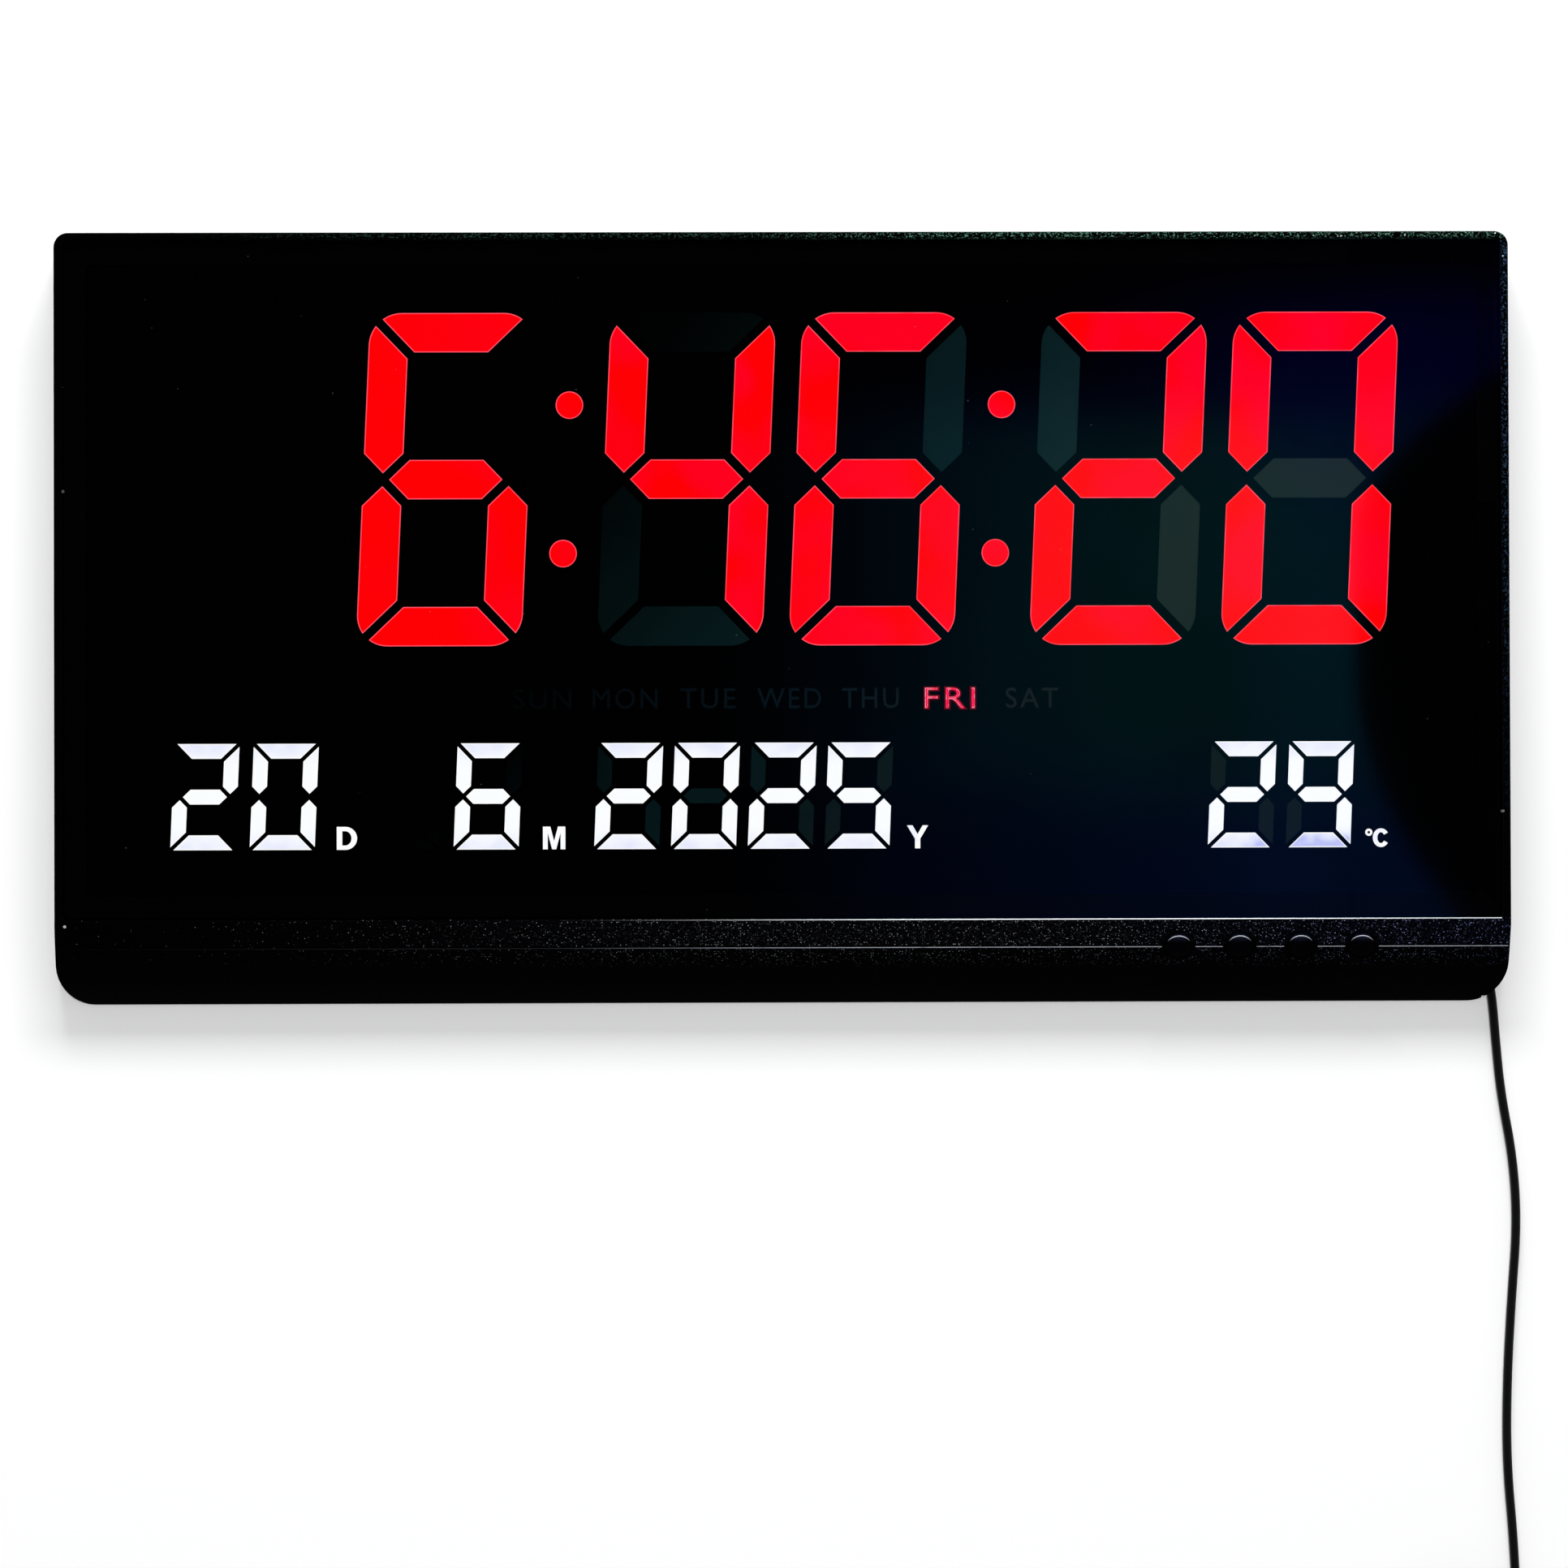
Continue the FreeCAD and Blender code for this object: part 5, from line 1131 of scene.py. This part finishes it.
def wall_paint(settings):
    """Pale wall, with white added for the camera. It is clear from behind, so that the back can be seen."""
    p = paint("wall")
    texture = p.noise(1.5 * MM)
    tone = settings.wall
    colour = p.blend(texture, rgb(tone, tone, tone), rgb(0.99 * tone, 0.99 * tone, tone))
    diffuse = p.add("ShaderNodeBsdfDiffuse", inputs={"Color": colour})
    lift = p.background_ray() * settings.lift
    added = p.add("ShaderNodeEmission", inputs={"Color": rgb(1, 1, 1), "Strength": lift})
    front = p.add("ShaderNodeAddShader", inputs=(diffuse, added))
    clear = p.add("ShaderNodeBsdfTransparent")
    behind = p.add("ShaderNodeNewGeometry", output="Backfacing")
    mixed = p.add("ShaderNodeMixShader", inputs=(behind, front, clear))
    p.add("ShaderNodeOutputMaterial", inputs=(mixed,), output=None)
    return p.holder


def card_paint():
    """A dim glow that the window mirrors: teal over the time, navy above and below it, and dark beyond a
    curve on the right. x and z are the places in the window at which the card is seen."""
    p = paint("dim_card")
    x, z = [p.along(axis) * MIRRORED + (1 - MIRRORED) * CAMERA_AT[axis] for axis in (X, Z)]
    beyond = (z - CURVE_Z).absolute() - CURVE_FLAT
    steep = (z > CURVE_Z) * (CURVE_ABOVE - CURVE_BELOW) + CURVE_BELOW
    edge = (beyond > 0) * beyond * beyond * steep + CURVE_X
    right = x.ramp(130 * MM, 180 * MM)
    teal = z.ramp(-165 * MM, -115 * MM) * (1 - 0.35 * right) * (0.4 + 0.6 * x.ramp(0, 140 * MM))
    teal = teal * (1 - (z + 25 * MM * right).ramp(-40 * MM, 10 * MM))
    upper = z.ramp(-30 * MM, 0)
    colour = p.blend(teal, rgb(*GLOW_NAVY), rgb(*GLOW_TEAL))
    colour = p.blend(upper, colour, rgb(*GLOW_UPPER))
    lit = x.ramp(-35 * MM, 130 * MM) * (1 - (x - edge).ramp(-3 * MM, 1 * MM)) * (1 + 0.35 * right)
    lit = lit * (1 - 0.9 * upper * (1 - x.ramp(80 * MM, 170 * MM))) * (1 - 0.95 * z.ramp(0, 34 * MM))
    cloud = p.noise(120 * MM, detail=2.0).ramp(0.2, 0.8)
    glare = p.add("ShaderNodeEmission", inputs={"Color": colour, "Strength": lit * (0.7 + 0.5 * cloud)})
    p.add("ShaderNodeOutputMaterial", inputs=(glare,), output=None)
    return p.holder


def area_lamp(name, place, target, size, power):
    """A rectangular lamp at a place, turned to the target."""
    lamp = bpy.data.lights.new(name, "AREA")
    lamp.shape = "RECTANGLE"
    lamp.size, lamp.size_y = size
    lamp.energy = power
    obj = bpy.data.objects.new(name, lamp)
    obj.location = place
    obj.rotation_euler = (Vector(target) - Vector(place)).to_track_quat("-Z", "Y").to_euler()
    bpy.context.scene.collection.objects.link(obj)
    obj.visible_camera = False
    return obj


def room(fill):
    """White for the camera. For everything else a room that is dark in front, lit above and behind."""
    world = bpy.data.worlds.new("room")
    bpy.context.scene.world = world
    p = Paint(world)
    direction = p.add("ShaderNodeTexCoord", output="Generated")
    up = p.part(direction, Z).ramp(0.3, 0.95)
    back = p.part(direction, Y).ramp(0.1, 0.7)
    camera = p.add("ShaderNodeLightPath", output="Is Camera Ray")
    light = 0.015 + up * 0.45 + back * 0.3 + p.add("ShaderNodeLightPath", output="Is Diffuse Ray") * fill
    shown = camera + (1 - camera) * p.background_ray() * back
    strength = shown + (1 - shown) * light
    sky = p.add("ShaderNodeBackground", inputs={"Color": rgb(1, 1, 1), "Strength": strength})
    p.add("ShaderNodeOutputWorld", inputs=(sky,), output=None)


# --- Add-on
class ClockPanel(bpy.types.Panel):
    """Lists the clock's operators and settings"""

    bl_idname = "VIEW3D_PT_clock"
    bl_label = "Clock"
    bl_space_type = "VIEW_3D"
    bl_region_type = "UI"
    bl_category = "Clock"

    def draw(self, context):
        for name in SETTINGS:
            settings = getattr(context.scene, name)
            for key in settings.__annotations__:
                self.layout.prop(settings, key)
        for operator in OPERATORS:
            self.layout.operator(operator.bl_idname)


SETTINGS = {"clock_case": ClockCase, "clock_display": ClockDisplay, "clock_lead": ClockLead,
            "clock_stage": ClockStage}
OPERATORS = (SetStage, MakeLead, DressCase, DressWindow, MakeTime, MakeDate, MakeWords, DressButtons,
             DressElectronics)


def register():
    for made in (*SETTINGS.values(), *OPERATORS, ClockPanel):
        bpy.utils.register_class(made)
    for name, group in SETTINGS.items():
        setattr(bpy.types.Scene, name, bpy.props.PointerProperty(type=group))


def unregister():
    for name in SETTINGS:
        delattr(bpy.types.Scene, name)
    for made in reversed((*SETTINGS.values(), *OPERATORS, ClockPanel)):
        bpy.utils.unregister_class(made)


def main():
    register()
    bpy.ops.clock.set_stage()
    bpy.ops.clock.make_lead()
    bpy.ops.clock.dress_case()
    bpy.ops.clock.dress_window()
    bpy.ops.clock.make_time()
    bpy.ops.clock.make_date()
    bpy.ops.clock.make_words()
    bpy.ops.clock.dress_buttons()
    bpy.ops.clock.dress_electronics()


if __name__ == "__main__":
    main()
